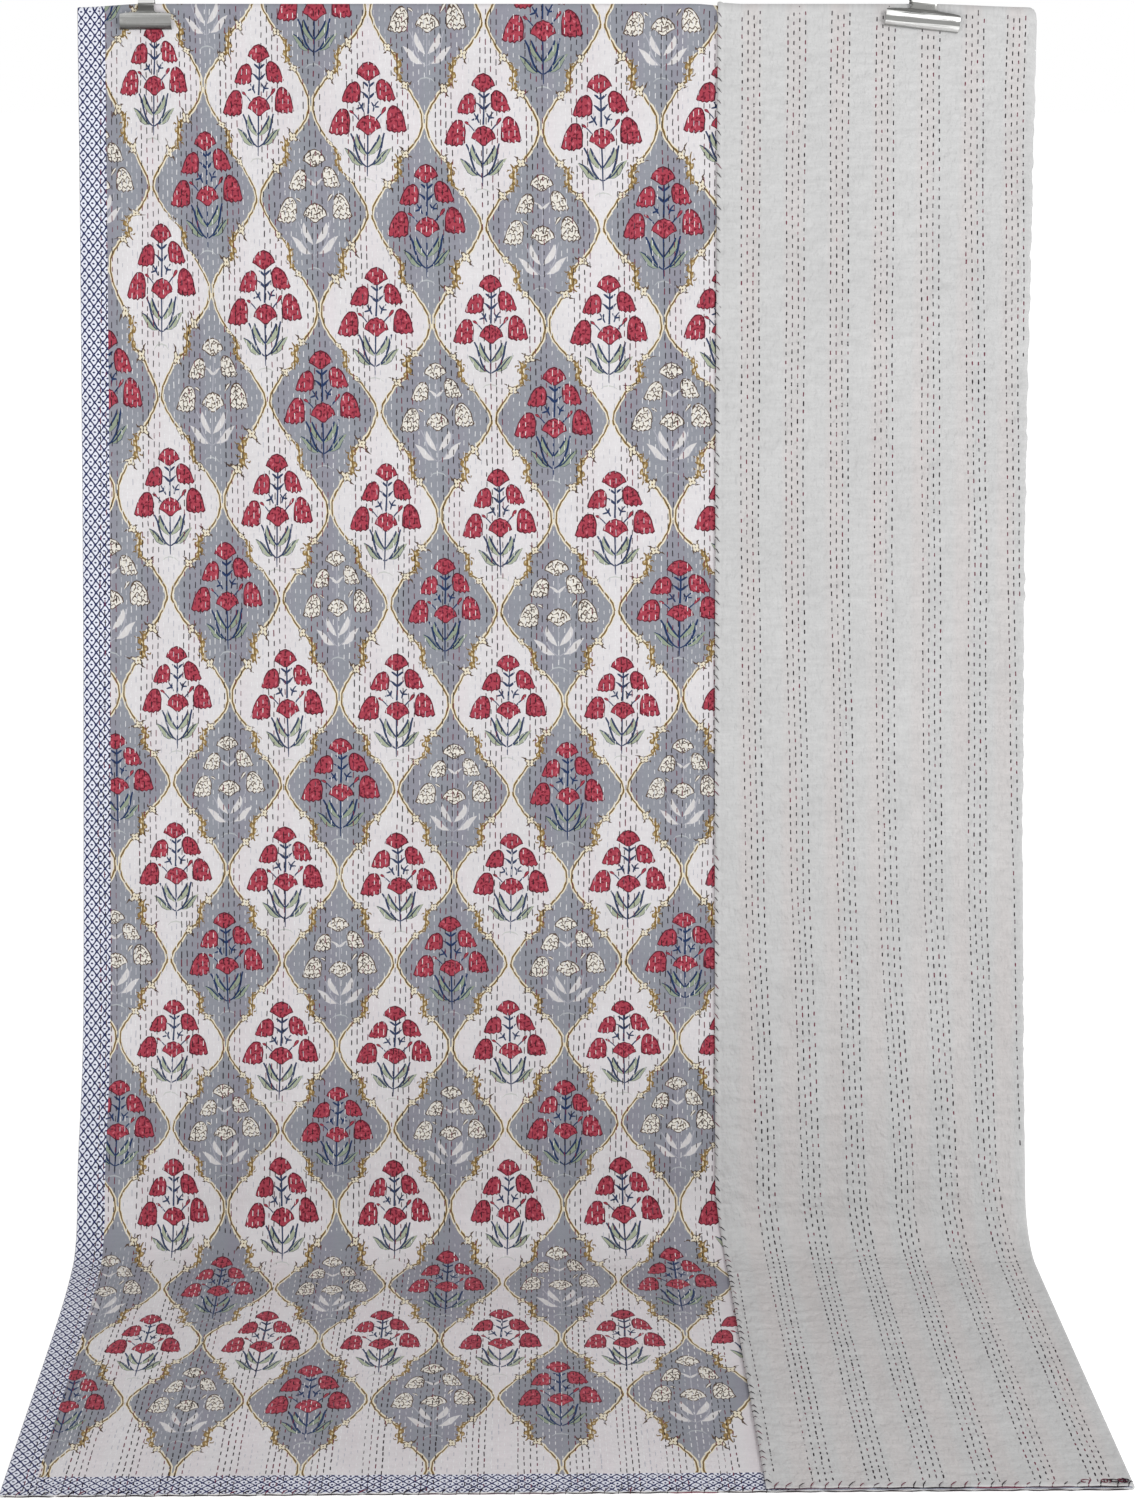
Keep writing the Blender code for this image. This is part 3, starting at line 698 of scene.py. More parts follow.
def taken(flat, triangles, slots, chosen):
    """Some of the triangles, with only the points that they use."""
    used = np.unique(triangles[chosen])
    renumber = np.zeros(len(flat), int)
    renumber[used] = np.arange(len(used))
    return flat[used], renumber[triangles[chosen]], slots[chosen]


def cut_up(outline, shapes, ground, names, spacing=None):
    """Triangles of a flat region, each with the number of the topmost shape's material."""
    points, edges = [], []
    for shape in (outline, *(points_of for _, points_of in shapes)):
        start = len(points)
        points += [tuple(p) for p in shape]
        edges += [(start + i, start + (i + 1) % len(shape)) for i in range(len(shape))]
    if spacing:
        low, high = outline.min(0), outline.max(0)
        a, b = np.meshgrid(np.arange(low[0] + spacing / 2, high[0], spacing),
                           np.arange(low[1] + spacing / 2, high[1], spacing))
        added = np.stack((a.ravel(), b.ravel()), 1)
        points += [tuple(p) for p in added[inside(added, outline)]]
    made = geometry.delaunay_2d_cdt([Vector(p) for p in points], edges, [], 0, 1e-4, False)
    places = np.array([tuple(v) for v in made[0]])
    triangles = np.array([f for f in made[2] if len(f) == 3])
    centres = places[triangles].mean(1)
    slots = np.full(len(triangles), names.index(ground))
    for kind, shape in shapes:
        low, high = shape.min(0), shape.max(0)
        near = np.flatnonzero(((centres >= low) & (centres <= high)).all(1))
        slots[near[inside(centres[near], shape)]] = names.index(kind)
    return taken(places, triangles, slots, inside(centres, outline))


def print_table(key, step):
    """One column of PRINT_ROWS, carried on above and below the rows that show."""
    table = np.array([entry[key] for entry in PRINT_ROWS])
    above = [table[0] - step * k for k in range(ROWS_ABOVE, 0, -1)]
    below = [table[-1] + step * k for k in range(1, ROWS_BELOW + 1)]
    return np.concatenate((above, table, below))


PRINT_TABLES = (print_table("across", 0.0), print_table("under_fold", ROW_STEP))


def across_columns(values, column):
    """Values given at the print's four columns, read between them by a cubic."""
    found = 0.0
    for k, here in enumerate(PRINT_COLUMNS):
        weight = 1.0
        for other in PRINT_COLUMNS:
            if other != here:
                weight = weight * (column - other) / (here - other)
        found = found + values[:, k] * weight
    return found


def print_place(column, row):
    """Where on the flat cloth a place of the print lies, given in columns and half rows."""
    index = np.clip(np.floor(row).astype(int) + ROWS_ABOVE, 1, len(PRINT_TABLES[0]) - 3)
    t = (row + ROWS_ABOVE - index)[:, None]
    near = np.clip(column, PRINT_COLUMNS[0], PRINT_COLUMNS[-1])
    inner = near + np.where(column < PRINT_COLUMNS[-1] / 2, 0.5, -0.5)
    found = []
    for table in PRINT_TABLES:
        values = between(*(table[index + k] for k in (-1, 0, 1, 2)), t)
        edge = across_columns(values, near)
        found.append(edge + (column - near) * (edge - across_columns(values, inner)) / (near - inner))
    across, along = found[0], found[1] + APEX
    across = (across + PRINT_WANDER * np.sin(column * 5.1 + row * 2.3)
              + 0.5 * PRINT_WANDER * np.sin(column * 11 - row * 7.7 + 1))
    along = (along + PRINT_WANDER * np.sin(column * 3.7 - row * 3.1 + 2)
             + 0.5 * PRINT_WANDER * np.sin(column * 9.1 + row * 8.3))
    return np.stack((across, along), 1)


def cell_place(places, grey, column, row, rng):
    """A cell's points on the cloth: its outline follows the lattice, its flower spray stands upright."""
    lattice = print_place(column + places[:, 0] / CELL_WIDE, row + places[:, 1] / HALF_CELL)
    probe = print_place(column + np.array((0, -0.2, 0.2, 0, 0)), row + np.array((0, 0, 0, -0.3, 0.3)))
    wide = (probe[2, 0] - probe[1, 0]) / (0.4 * CELL_WIDE)
    high = (probe[4, 1] - probe[3, 1]) / (0.6 * HALF_CELL)
    size = np.array((wide, high)) * (1 + SPRAY_SIZE * rng.uniform(-1, 1))
    moved = turned(places + SPRAY_SHIFT * rng.uniform(-1, 1, 2), angle=SPRAY_TURN * rng.uniform(-1, 1))
    upright = probe[0] + moved * size
    line = quarter_line(grey)
    line = line[np.argsort(line[:, 1])]
    depth = np.interp(np.abs(places[:, 1]), line[:, 1], line[:, 0]) - np.abs(places[:, 0])
    share = smooth(0.5, 13.0, depth) * (1 - smooth(0.60, 0.80, np.abs(places[:, 1]) / HALF_CELL))
    return lattice + (upright - lattice) * share[:, None]


PRINT_NAMES = (
    "white_ground", "grey_ground", "cream", "olive", "gold", "gold_pale", "brown", "crimson",
    "crimson_rim", "crimson_dark", "crimson_pale", "ink", "ink_blue", "sage", "sage_grey", "ivory",
    "pale_stem", "pale_leaf", "arc_white", "arc_grey",
)
FINE_MARKS = ("crimson_dark", "crimson_pale", "gold_pale")
GROUNDS = dict(white="white_ground", white_blank="white_ground",
               grey_red="grey_ground", grey_ivory="grey_ground")


def printed_flat():
    """The whole drawn print on the flat cloth, before it is cut to the panel."""
    cells, behind = {}, {}
    for kind, ground in GROUNDS.items():
        outline, shapes = cell_outline(kind.startswith("grey")), cell_shapes(kind)
        plainer = [shape for shape in shapes if shape[0] not in FINE_MARKS]
        cells[kind] = cut_up(outline, shapes, ground, PRINT_NAMES, CELL_POINTS)
        behind[kind] = cut_up(outline, plainer, ground, PRINT_NAMES, CELL_POINTS)
    rng = np.random.default_rng(PRINT_SEED)
    points, triangles, slots, count = [], [], [], 0
    for row in CELL_ROWS:
        for step in CELL_STEPS:
            column = step if row % 2 else step + 0.5
            if row % 2:
                kind = "white_blank" if row == BLANK_ROW else "white"
            else:
                kind = "grey_red" if (row // 2 + step) % 2 else "grey_ivory"
            places, faces, kinds = (behind if row < FIRST_ROW_SEEN else cells)[kind]
            flat = cell_place(places, kind.startswith("grey"), column, row, rng)
            low, high = flat.min(0), flat.max(0)
            if high[0] < BORDER or low[0] > PRINT_END or high[1] < BORDER or low[1] > QUILT_LENGTH - BORDER:
                continue
            points.append(flat)
            triangles.append(faces + count)
            slots.append(kinds)
            count += len(flat)
    return np.concatenate(points), np.concatenate(triangles), np.concatenate(slots)


def cut_flat(flat, triangles, slots, keep, lines=()):
    """Cuts a flat mesh to a rectangle, with more cuts along lines.

    keep is (low across, high across, low along, high along).
    """
    mesh = bpy.data.meshes.new("flat")
    mesh.from_pydata(np.column_stack((flat, np.zeros(len(flat)))).tolist(), [], triangles.tolist())
    mesh.polygons.foreach_set("material_index", np.asarray(slots, np.int32))
    build = bmesh.new()
    build.from_mesh(mesh)
    bpy.data.meshes.remove(mesh)
    bmesh.ops.remove_doubles(build, verts=build.verts, dist=2e-6)
    for axis, value, side in ((0, keep[0], -1), (0, keep[1], 1), (1, keep[2], -1), (1, keep[3], 1)):
        point, normal = [0.0, 0.0, 0.0], [0.0, 0.0, 0.0]
        point[axis], normal[axis] = value, side
        bmesh.ops.bisect_plane(build, geom=build.verts[:] + build.edges[:] + build.faces[:], dist=1e-7,
                               plane_co=point, plane_no=normal, clear_outer=True)
    for line in lines:
        near = [face for face in build.faces if any(abs(vert.co.y - line) < 0.02 for vert in face.verts)]
        parts = {item for face in near for item in (*face.verts, *face.edges, face)}
        bmesh.ops.bisect_plane(build, geom=list(parts), dist=1e-7, plane_co=(0, line, 0), plane_no=(0, 1, 0))
    bmesh.ops.triangulate(build, faces=build.faces)
    build.verts.index_update()
    places = np.array([vert.co[:2] for vert in build.verts])
    faces = np.array([[vert.index for vert in face.verts] for face in build.faces])
    kinds = np.array([face.material_index for face in build.faces])
    upside_down = np.array([face.normal.z < 0 for face in build.faces])
    faces[upside_down] = faces[upside_down][:, ::-1]
    build.free()
    return places, faces, kinds


# ---------------------------------------------------------------- materials

def linear(colour):
    """A colour given in 0 to 255, as the light that it sends back."""
    share = np.asarray(colour, float) / 255
    return np.where(share <= 0.04045, share / 12.92, ((share + 0.055) / 1.055) ** 2.4)


class Nodes:
    """A short way to build a node material."""

    def __init__(self, name):
        self.material = bpy.data.materials.new(name)
        self.material.use_nodes = True
        self.tree = self.material.node_tree
        self.shader = self.tree.nodes["Principled BSDF"]

    def add(self, kind, **settings):
        node = self.tree.nodes.new(kind)
        for key, value in settings.items():
            setattr(node, key, value)
        return node

    def link(self, source, target):
        self.tree.links.new(source, target)

    def cloth_map(self, wide=1.0, high=1.0):
        """The flat cloth's own places, stretched."""
        places = self.add("ShaderNodeUVMap", uv_map="cloth")
        mapping = self.add("ShaderNodeMapping")
        mapping.inputs["Scale"].default_value = (wide, high, 1.0)
        self.link(places.outputs["UV"], mapping.inputs["Vector"])
        return mapping.outputs["Vector"]

    def noise(self, vector, scale, detail=2.0, roughness=0.5):
        node = self.add("ShaderNodeTexNoise")
        node.inputs["Scale"].default_value = scale
        node.inputs["Detail"].default_value = detail
        node.inputs["Roughness"].default_value = roughness
        self.link(vector, node.inputs["Vector"])
        return node.outputs["Fac"]

    def feed(self, socket, value):
        """Links a socket to another, or sets it to a number or a colour."""
        if isinstance(value, bpy.types.NodeSocket):
            self.link(value, socket)
        else:
            socket.default_value = (*value, 1.0) if socket.type == "RGBA" else value

    def sum(self, operation, first, second):
        node = self.add("ShaderNodeMath", operation=operation)
        for socket, value in zip(node.inputs, (first, second)):
            self.feed(socket, value)
        return node.outputs["Value"]

    def ranged(self, value, low, high, to_low, to_high):
        node = self.add("ShaderNodeMapRange")
        for key, number in (("From Min", low), ("From Max", high), ("To Min", to_low), ("To Max", to_high)):
            node.inputs[key].default_value = number
        self.link(value, node.inputs["Value"])
        return node.outputs["Result"]

    def mixed(self, share, first, second, blend="MIX"):
        node = self.add("ShaderNodeMix", data_type="RGBA", blend_type=blend)
        for socket, value in zip([s for s in node.inputs if s.type == "RGBA"], (first, second)):
            self.feed(socket, value)
        self.feed(next(s for s in node.inputs if s.name == "Factor" and s.type == "VALUE"), share)
        return next(s for s in node.outputs if s.type == "RGBA")

    def bumped(self, height, distance, strength=1.0, onto=None):
        node = self.add("ShaderNodeBump")
        node.inputs["Distance"].default_value = distance
        node.inputs["Strength"].default_value = strength
        self.link(height, node.inputs["Height"])
        if onto is not None:
            self.link(onto, node.inputs["Normal"])
        return node.outputs["Normal"]

    def band_share(self, first, pitch):
        """From 0 between the bands of stitching to 1 in the middle of each."""
        places = self.add("ShaderNodeSeparateXYZ")
        self.link(self.cloth_map(), places.inputs["Vector"])
        turn = self.sum("MULTIPLY", self.sum("SUBTRACT", places.outputs["X"], first), FULL_TURN / pitch)
        return self.ranged(self.sum("COSINE", turn, 0.0), -0.2, 0.8, 0.0, 1.0)


def cotton(name, colour, fleck, tint, bands, streaks, pucker, wrinkle_shade, mottle=0.07):
    """Printed or plain cotton: soft tonal patches, thread streaks, painted shade in small wrinkles, a weave and
    small puckers.

    fleck is (share, colour) of fine speckling; tint is the colour beside the dark stitching, and
    bands is where that stitching lies.
    """
    n = Nodes(name)
    base = linear(colour)
    tone = base
    if tint:
        patchy = n.ranged(n.noise(n.cloth_map(6.0, 2.5), 2.0), 0.3, 0.7, 0.5, 1.0)
        tone = n.mixed(n.sum("MULTIPLY", n.band_share(*bands), patchy), base, linear(tint))
    patches = n.ranged(n.noise(n.cloth_map(), 9.0, 3.0), 0.3, 0.7, 0.0, 1.0)
    tone = n.mixed(1.0, tone, n.mixed(patches, (1 - mottle,) * 3, (1.0,) * 3), "MULTIPLY")
    thread = n.ranged(n.noise(n.cloth_map(60.0, 420.0), 1.0, 3.0), 0.35, 0.75, 0.0, streaks)
    tone = n.mixed(thread, tone, base * 0.62)
    # painted shade: darker noise patches in the colour, standing in for the shade in small wrinkles of the cloth
    painted_wrinkle_shade = n.ranged(n.noise(n.cloth_map(42.0, 125.0), 1.0, 3.0, 0.6), 0.38, 0.66, 0.0, wrinkle_shade)
    tone = n.mixed(painted_wrinkle_shade, tone, base * 0.62)
    if fleck:
        speckle = n.ranged(n.noise(n.cloth_map(), 420.0, 3.0, 0.6), 0.48, 0.62, 0.0, fleck[0])
        tone = n.mixed(speckle, tone, linear(fleck[1]))
    n.link(tone, n.shader.inputs["Base Color"])
    n.shader.inputs["Roughness"].default_value = 0.88
    n.shader.inputs["Specular IOR Level"].default_value = 0.2
    n.shader.inputs["Sheen Weight"].default_value = 0.08
    n.shader.inputs["Sheen Roughness"].default_value = 0.5
    weave = n.add("ShaderNodeTexWave", wave_type="BANDS", bands_direction="X")
    weft = n.add("ShaderNodeTexWave", wave_type="BANDS", bands_direction="Y")
    for wave in (weave, weft):
        wave.inputs["Scale"].default_value = 1.0
        n.link(n.cloth_map(560.0, 560.0), wave.inputs["Vector"])
    both = n.sum("ADD", weave.outputs["Fac"], weft.outputs["Fac"])
    normal = n.bumped(n.noise(n.cloth_map(), 34.0, 2.0), 0.0020)
    normal = n.bumped(n.noise(n.cloth_map(140.0, 95.0), 1.0, 2.0, 0.6), pucker, 1.0, normal)
    normal = n.bumped(n.noise(n.cloth_map(26.0, 260.0), 1.0, 2.0), 0.00022, 1.0, normal)
    normal = n.bumped(both, 0.00004, 0.5, normal)
    n.link(normal, n.shader.inputs["Normal"])
    return n.material


def thread_material(name, colour):
    n = Nodes(name)
    base = linear(colour)
    places = n.add("ShaderNodeTexCoord").outputs["Object"]
    tone = n.mixed(n.noise(places, 900.0, 2.0), base * 0.75, np.minimum(base * 1.25, 1.0))
    n.link(tone, n.shader.inputs["Base Color"])
    n.shader.inputs["Roughness"].default_value = 0.75
    n.shader.inputs["Specular IOR Level"].default_value = 0.2
    return n.material


def steel_material(name, bands, tall, roughness, wear=0.22):
    """Nickelled spring steel, rolled and brushed along its width. bands is rows of (height share, tone): light and
    dark bands painted up the plate as reflections and shade.
    """
    n = Nodes(name)
    places = n.add("ShaderNodeTexCoord").outputs["Object"]
    stretched = n.add("ShaderNodeMapping")
    stretched.inputs["Scale"].default_value = (18.0, 700.0, 700.0)
    n.link(places, stretched.inputs["Vector"])
    brushed = n.noise(stretched.outputs["Vector"], 1.0, 3.0)
    worn = n.noise(places, 160.0, 4.0, 0.65)
    height = n.add("ShaderNodeSeparateXYZ")
    n.link(places, height.inputs["Vector"])
    level = n.ranged(height.outputs["Z"], 0.0, tall, 0.0, 1.0)
    level = n.sum("ADD", level, n.ranged(brushed, 0.3, 0.7, -0.035, 0.035))
    # painted reflections and shade: the colour ramps through light and dark bands by height up the plate
    ramp = n.add("ShaderNodeValToRGB")
    n.link(level, ramp.inputs["Fac"])
    while len(ramp.color_ramp.elements) < len(bands):
        ramp.color_ramp.elements.new(1.0)
    for element, (share, tone) in zip(ramp.color_ramp.elements, bands):
        element.position = share
        element.color = (*linear((tone, tone, tone - 2)), 1.0)
    tone = n.mixed(n.ranged(worn, 0.35, 0.75, 0.0, wear), ramp.outputs["Color"], linear((112, 112, 110)))
    n.link(tone, n.shader.inputs["Base Color"])
    n.link(n.ranged(worn, 0.3, 0.7, roughness * 0.8, roughness * 1.35), n.shader.inputs["Roughness"])
    n.shader.inputs["Metallic"].default_value = 1.0
    n.link(n.bumped(brushed, 0.00004, 0.6), n.shader.inputs["Normal"])
    return n.material


COLOURS = {
    "white_ground": (230, 227, 229), "grey_ground": (151, 154, 163), "cream": (238, 229, 206),
    "olive": (128, 102, 58), "gold": (158, 130, 80), "gold_pale": (216, 198, 156),
    "brown": (92, 74, 62), "crimson": (177, 69, 85), "crimson_rim": (98, 32, 48),
    "crimson_dark": (118, 34, 50), "crimson_pale": (204, 104, 118), "ink": (54, 66, 98),
    "ink_blue": (36, 56, 96), "sage": (174, 182, 158), "sage_grey": (150, 162, 142),
    "ivory": (242, 238, 229), "pale_stem": (178, 178, 188), "pale_leaf": (222, 219, 219),
    "arc_white": (206, 208, 204), "arc_grey": (184, 188, 192), "lattice_ground": (238, 241, 252),
    "navy": (42, 48, 94), "reverse": (211, 211, 211),
}
FLECKS = {"crimson": (0.45, (142, 40, 58)), "ivory": (0.30, (160, 146, 128)), "gold": (0.45, (122, 98, 58))}
TINTS = {"white_ground": (229, 223, 226), "grey_ground": (150, 149, 161), "reverse": (214, 209, 208)}
# the last entry of each finish sets how dark the shade painted into small wrinkles gets
PRINTED_FINISH = dict(bands=(0.031, 0.0525), streaks=0.12, pucker=0.0014, wrinkle_shade=0.10)
REVERSE_FINISH = dict(bands=(1.166, 0.0525), streaks=0.16, pucker=0.0030, wrinkle_shade=0.22)
THREAD_COLOURS = {
    "thread_dark": (34, 22, 30), "thread_maroon": (108, 36, 58), "thread_faded": (88, 70, 80),
    "thread_white": (238, 236, 240), "thread_grey": (190, 190, 198),
}


def cloth_materials():
    made = {}
    for name, colour in COLOURS.items():
        finish = REVERSE_FINISH if name == "reverse" else PRINTED_FINISH
        made[name] = cotton(name, colour, FLECKS.get(name), TINTS.get(name), **finish)
    return made


# ---------------------------------------------------------------- pieces

def finish_piece(piece, nodes=()):
    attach(piece, "root")
    if nodes:
        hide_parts(*nodes)


NEAR_APEX = [APEX + 0.0016 * k for k in range(-3, 4)]
INSIDE_EDGE = BORDER + GAP
UNDER_FLAP_STEPS = ((PRINT_END, FOLD_START - 0.012, FOLD_START, FOLD_END, FOLD_END + 0.012, QUILT_WIDTH),
                    (0.020, 0.004, 0.0016, 0.004, 0.020))
APEX_REACH, APEX_STEP, BEND_STEP = 0.008, 0.0012, 0.006   # rows of the plain grids at the top fold and bend
BEHIND_STEPS = ((0.0, FOLD_START - 0.026), (0.0145,))     # the reverse behind the print, and then its flap
FLAP_STEPS = ((FOLD_START - 0.012, FOLD_START, FOLD_END, FOLD_END + 0.012, QUILT_WIDTH - 0.010, QUILT_WIDTH),
              (0.004, 0.0018, 0.004, 0.0085, 0.0014))
REVERSE_ROW, FLAP_SPLIT = 0.0105, 3
RIM_BULGE = 0.0009
RIM_LEVELS = ((0.8, 0.22), (1.0, 0.5), (0.8, 0.78), (0.0, 1.0))   # share of the bulge, share of the thickness
PRINTED_PIECES = ("print_turned_over", "print_upper", "print_middle", "print_lower")


def main_rows(low, high, size):
    """Rows down the cloth, close together over the top fold."""
    ends = (low, APEX - APEX_REACH, APEX + APEX_REACH, BEND_START, FLOOR_START, high)
    return steps(ends, (size, APEX_STEP, size, min(size, BEND_STEP), size))


def printed_pieces(finishes):
    """The printed face in four pieces down the cloth, and the plain stretch that lies under the flap."""
    materials = [finishes[name] for name in PRINT_NAMES]
    flat, triangles, slots = printed_flat()
    flat, triangles, slots = cut_flat(flat, triangles, slots,
                                      (BORDER, PRINT_END, BORDER, QUILT_LENGTH - BORDER),
                                      [*NEAR_APEX, *PRINT_SPLITS])
    centre = flat[triangles].mean(1)[:, 1]
    ends = (0.0, APEX, *PRINT_SPLITS, QUILT_LENGTH)
    for name, low, high in zip(PRINTED_PIECES, ends, ends[1:]):
        part, faces, kinds = taken(flat, triangles, slots, (centre >= low) & (centre < high))
        piece = cloth_mesh(name, part, faces, kinds, materials, printed_face)
        finish_piece(piece, ["front_panel"])
    flat, faces = grid(steps(*UNDER_FLAP_STEPS), main_rows(INSIDE_EDGE, QUILT_LENGTH - INSIDE_EDGE, 0.02))
    hidden = cloth_mesh("print_under_flap", flat, faces, np.zeros(len(faces)), [finishes["white_ground"]],
                        printed_face)
    finish_piece(hidden, ["front_panel"])


# The border's lattice, in mm from its outer edge: crossings of its lines, and the dots
LATTICE_NAMES = ("lattice_ground", "navy")
LATTICE_HALF = 5.33      # from a crossing to the next, across the strip
LATTICE_FIRST = 4.2
LATTICE_LINE = 1.45
LATTICE_DOT = (3.4, 2.4)
SIDE_REPEAT, FOOT_REPEAT = 14.4, 12.0


def lattice_tile(repeat):
    """One repeat of the border's lattice, as wide as the strip: rows of diamonds with a dot in each."""
    half, wide = repeat / 2, BORDER * 1000
    crossings = [LATTICE_FIRST + LATTICE_HALF * k for k in range(-1, 7)]
    shapes = []
    for k, (near, far) in enumerate(zip(crossings, crossings[1:])):
        low, high = (0.0, half) if k % 2 == 0 else (half, 0.0)
        middle = ((near + far) / 2 + 0.25, (low + high) / 2 + (0.25 if k % 2 else -0.25))
        for side in (1, -1):
            line = np.array(((near, low), middle, (far, high))) * (1, side)
            shapes.append(brush(line, (LATTICE_LINE * 1.5, LATTICE_LINE, LATTICE_LINE * 1.5), 3))
    dot = oval(*LATTICE_DOT, 6)
    shapes += [dot + (x, half if k % 2 == 0 else 0.0) for k, x in enumerate(crossings)]
    drawn = []
    for shape in shapes:
        for away in (-repeat, 0.0, repeat):
            drawn.append(("navy", carved(shape, 0.12) + (0, away)))
    square = np.array(((0, -half), (wide, -half), (wide, half), (0, half)))
    return cut_up(square, drawn, "lattice_ground", LATTICE_NAMES)


def lattice_border(name, node, repeat, length, placed, keep, finishes, lines=()):
    """A strip of lattice print: placed turns (from the outer edge, along the strip) into flat cloth."""
    places, faces, kinds = lattice_tile(repeat)
    count = math.ceil(length / (repeat / 1000)) + 1
    number = np.arange(count)
    run = places[None, :, 1] + repeat * number[:, None]
    inward = np.broadcast_to(places[None, :, 0], run.shape)
    edge = np.clip(np.minimum(inward, BORDER * 1000 - inward) / 3, 0, 1)
    inward = inward + 0.35 * np.sin(run * 0.031 + 1) * edge + 0.15 * np.sin(run * 0.19) * edge
    flat = placed(inward / 1000, (run + 0.8 * np.sin(run * 0.011)) / 1000)
    triangles = faces[None] + (number * len(places))[:, None, None]
    flat, faces, kinds = cut_flat(flat.reshape(-1, 2), triangles.reshape(-1, 3), np.tile(kinds, count),
                                  keep, lines)
    piece = cloth_mesh(name, flat, faces, kinds, [finishes[key] for key in LATTICE_NAMES], printed_face)
    finish_piece(piece, [node])


def border_pieces(finishes):
    """The lattice strips at the side, foot and head, and their plain ends under the flap."""
    strip = PRINT_END - INSIDE_EDGE
    lattice_border("border_side_print", "border_side", SIDE_REPEAT, QUILT_LENGTH,
                   lambda s, t: np.stack((s, t - 0.005), -1),
                   (0.0, BORDER, 0.0, QUILT_LENGTH), finishes, NEAR_APEX)
    lattice_border("border_foot_print", "border_foot", FOOT_REPEAT, strip,
                   lambda s, t: np.stack((INSIDE_EDGE + t, QUILT_LENGTH - s), -1),
                   (INSIDE_EDGE, PRINT_END, QUILT_LENGTH - BORDER, QUILT_LENGTH), finishes)
    lattice_border("border_head_print", "border_head", FOOT_REPEAT, strip,
                   lambda s, t: np.stack((INSIDE_EDGE + t, s), -1),
                   (INSIDE_EDGE, PRINT_END, 0.0, BORDER), finishes)
    for name, node, low in (("border_foot_hidden", "border_foot", QUILT_LENGTH - BORDER),
                            ("border_head_hidden", "border_head", 0.0)):
        flat, faces = grid(steps(*UNDER_FLAP_STEPS), np.array((low, low + BORDER / 2, low + BORDER)))
        piece = cloth_mesh(name, flat, faces, np.zeros(len(faces)), [finishes["lattice_ground"]], printed_face)
        finish_piece(piece, [node])


def ripple(across, along):
    """Soft cross ripples that the stitching draws into the reverse, in patches."""
    phase = (0.55 * np.sin(FULL_TURN * across / 0.083)
             + 0.35 * np.sin(FULL_TURN * (across / 0.031 + along / 0.27)))
    patch = (np.sin(FULL_TURN * (along / 0.31 + across / 0.21))
             + 0.7 * np.sin(FULL_TURN * (along / 0.173 - across / 0.117 + 0.3)))
    return np.sin(FULL_TURN * along / 0.0117 + phase * 2.4) * (0.55 + 0.45 * np.clip(patch, -1, 1))


RIPPLE = 0.00030
CRINKLE = 0.0026
CREASE_DEPTH = 2.4
EDGE_ROLL = 0.0008


def crinkle(across, along):
    """Soft uneven puckers, wider than they are high, between -0.5 and 0.5."""
    a, b = across / 0.024 + 0.35 * np.sin(along * 21), along / 0.0105 + 0.6 * np.sin(across * 47)
    i, j = np.floor(a), np.floor(b)
    u, v = a - i, b - j
    u, v = u * u * (3 - 2 * u), v * v * (3 - 2 * v)
    near = hashed(i, j) * (1 - u) + hashed(i + 1, j) * u
    far = hashed(i, j + 1) * (1 - u) + hashed(i + 1, j + 1) * u
    return (near * (1 - v) + far * v) / 2


CREASES = (   # soft wrinkles of the reverse: middle, length, width, turn in degrees, depth
    dict(across=1.318, under_fold=0.84, long=0.16, wide=0.006, turn=58, deep=0.0007),
    dict(across=1.262, under_fold=0.95, long=0.12, wide=0.005, turn=64, deep=0.0006),
    dict(across=1.440, under_fold=0.52, long=0.14, wide=0.007, turn=72, deep=0.0005),
    dict(across=1.385, under_fold=1.17, long=0.10, wide=0.005, turn=-52, deep=0.0005),
    dict(across=1.205, under_fold=0.36, long=0.13, wide=0.006, turn=-66, deep=0.0005),
    dict(across=1.340, under_fold=1.33, long=0.15, wide=0.006, turn=12, deep=0.0006),
    dict(across=1.250, under_fold=1.36, long=0.12, wide=0.005, turn=-8, deep=0.0005),
    dict(across=1.460, under_fold=0.97, long=0.09, wide=0.004, turn=40, deep=0.0005),
    dict(across=1.190, under_fold=0.72, long=0.11, wide=0.005, turn=50, deep=0.0005),
    dict(across=1.400, under_fold=1.72, long=0.12, wide=0.007, turn=6, deep=0.0006),
    dict(across=1.190, under_fold=0.70, long=0.14, wide=0.004, turn=6, deep=0.0006),
    dict(across=1.235, under_fold=0.60, long=0.10, wide=0.004, turn=35, deep=0.0006),
    dict(across=1.330, under_fold=0.52, long=0.08, wide=0.004, turn=80, deep=0.0005),
    dict(across=1.300, under_fold=0.27, long=0.10, wide=0.005, turn=-48, deep=0.0005),
    dict(across=1.410, under_fold=0.74, long=0.08, wide=0.004, turn=28, deep=0.0006),
)


def creased(across, along):
    """Depth of the soft wrinkles."""
    found = np.zeros_like(across)
    for crease in CREASES:
        c, s = math.cos(math.radians(crease["turn"])), math.sin(math.radians(crease["turn"]))
        a, b = across - crease["across"], along - APEX - crease["under_fold"]
        bend = 0.012 * np.sin((a * c + b * s) * 34)
        run, off = a * c + b * s, -a * s + b * c + bend
        found = found + crease["deep"] * np.exp(-(run / crease["long"] * 2) ** 2 - (off / crease["wide"]) ** 2)
    return found


def reverse_relief(across, along):
    """Depth of the plain reverse with its ripples, puckers, wrinkles and rolled edge."""
    lower = 1 + 0.6 * smooth(0.5, 1.3, along - APEX)
    rolled = EDGE_ROLL * (np.exp(-((QUILT_WIDTH - 0.0024 - across) / 0.0019) ** 2)
                          - 0.6 * np.exp(-((QUILT_WIDTH - 0.0064 - across) / 0.0015) ** 2))
    wrinkled = (RIPPLE * lower * ripple(across, along) + CRINKLE * crinkle(across, along)
                - CREASE_DEPTH * creased(across, along)) * unpressed(along) * off_floor(across, along)
    return reverse_face(across, along) + wrinkled - rolled


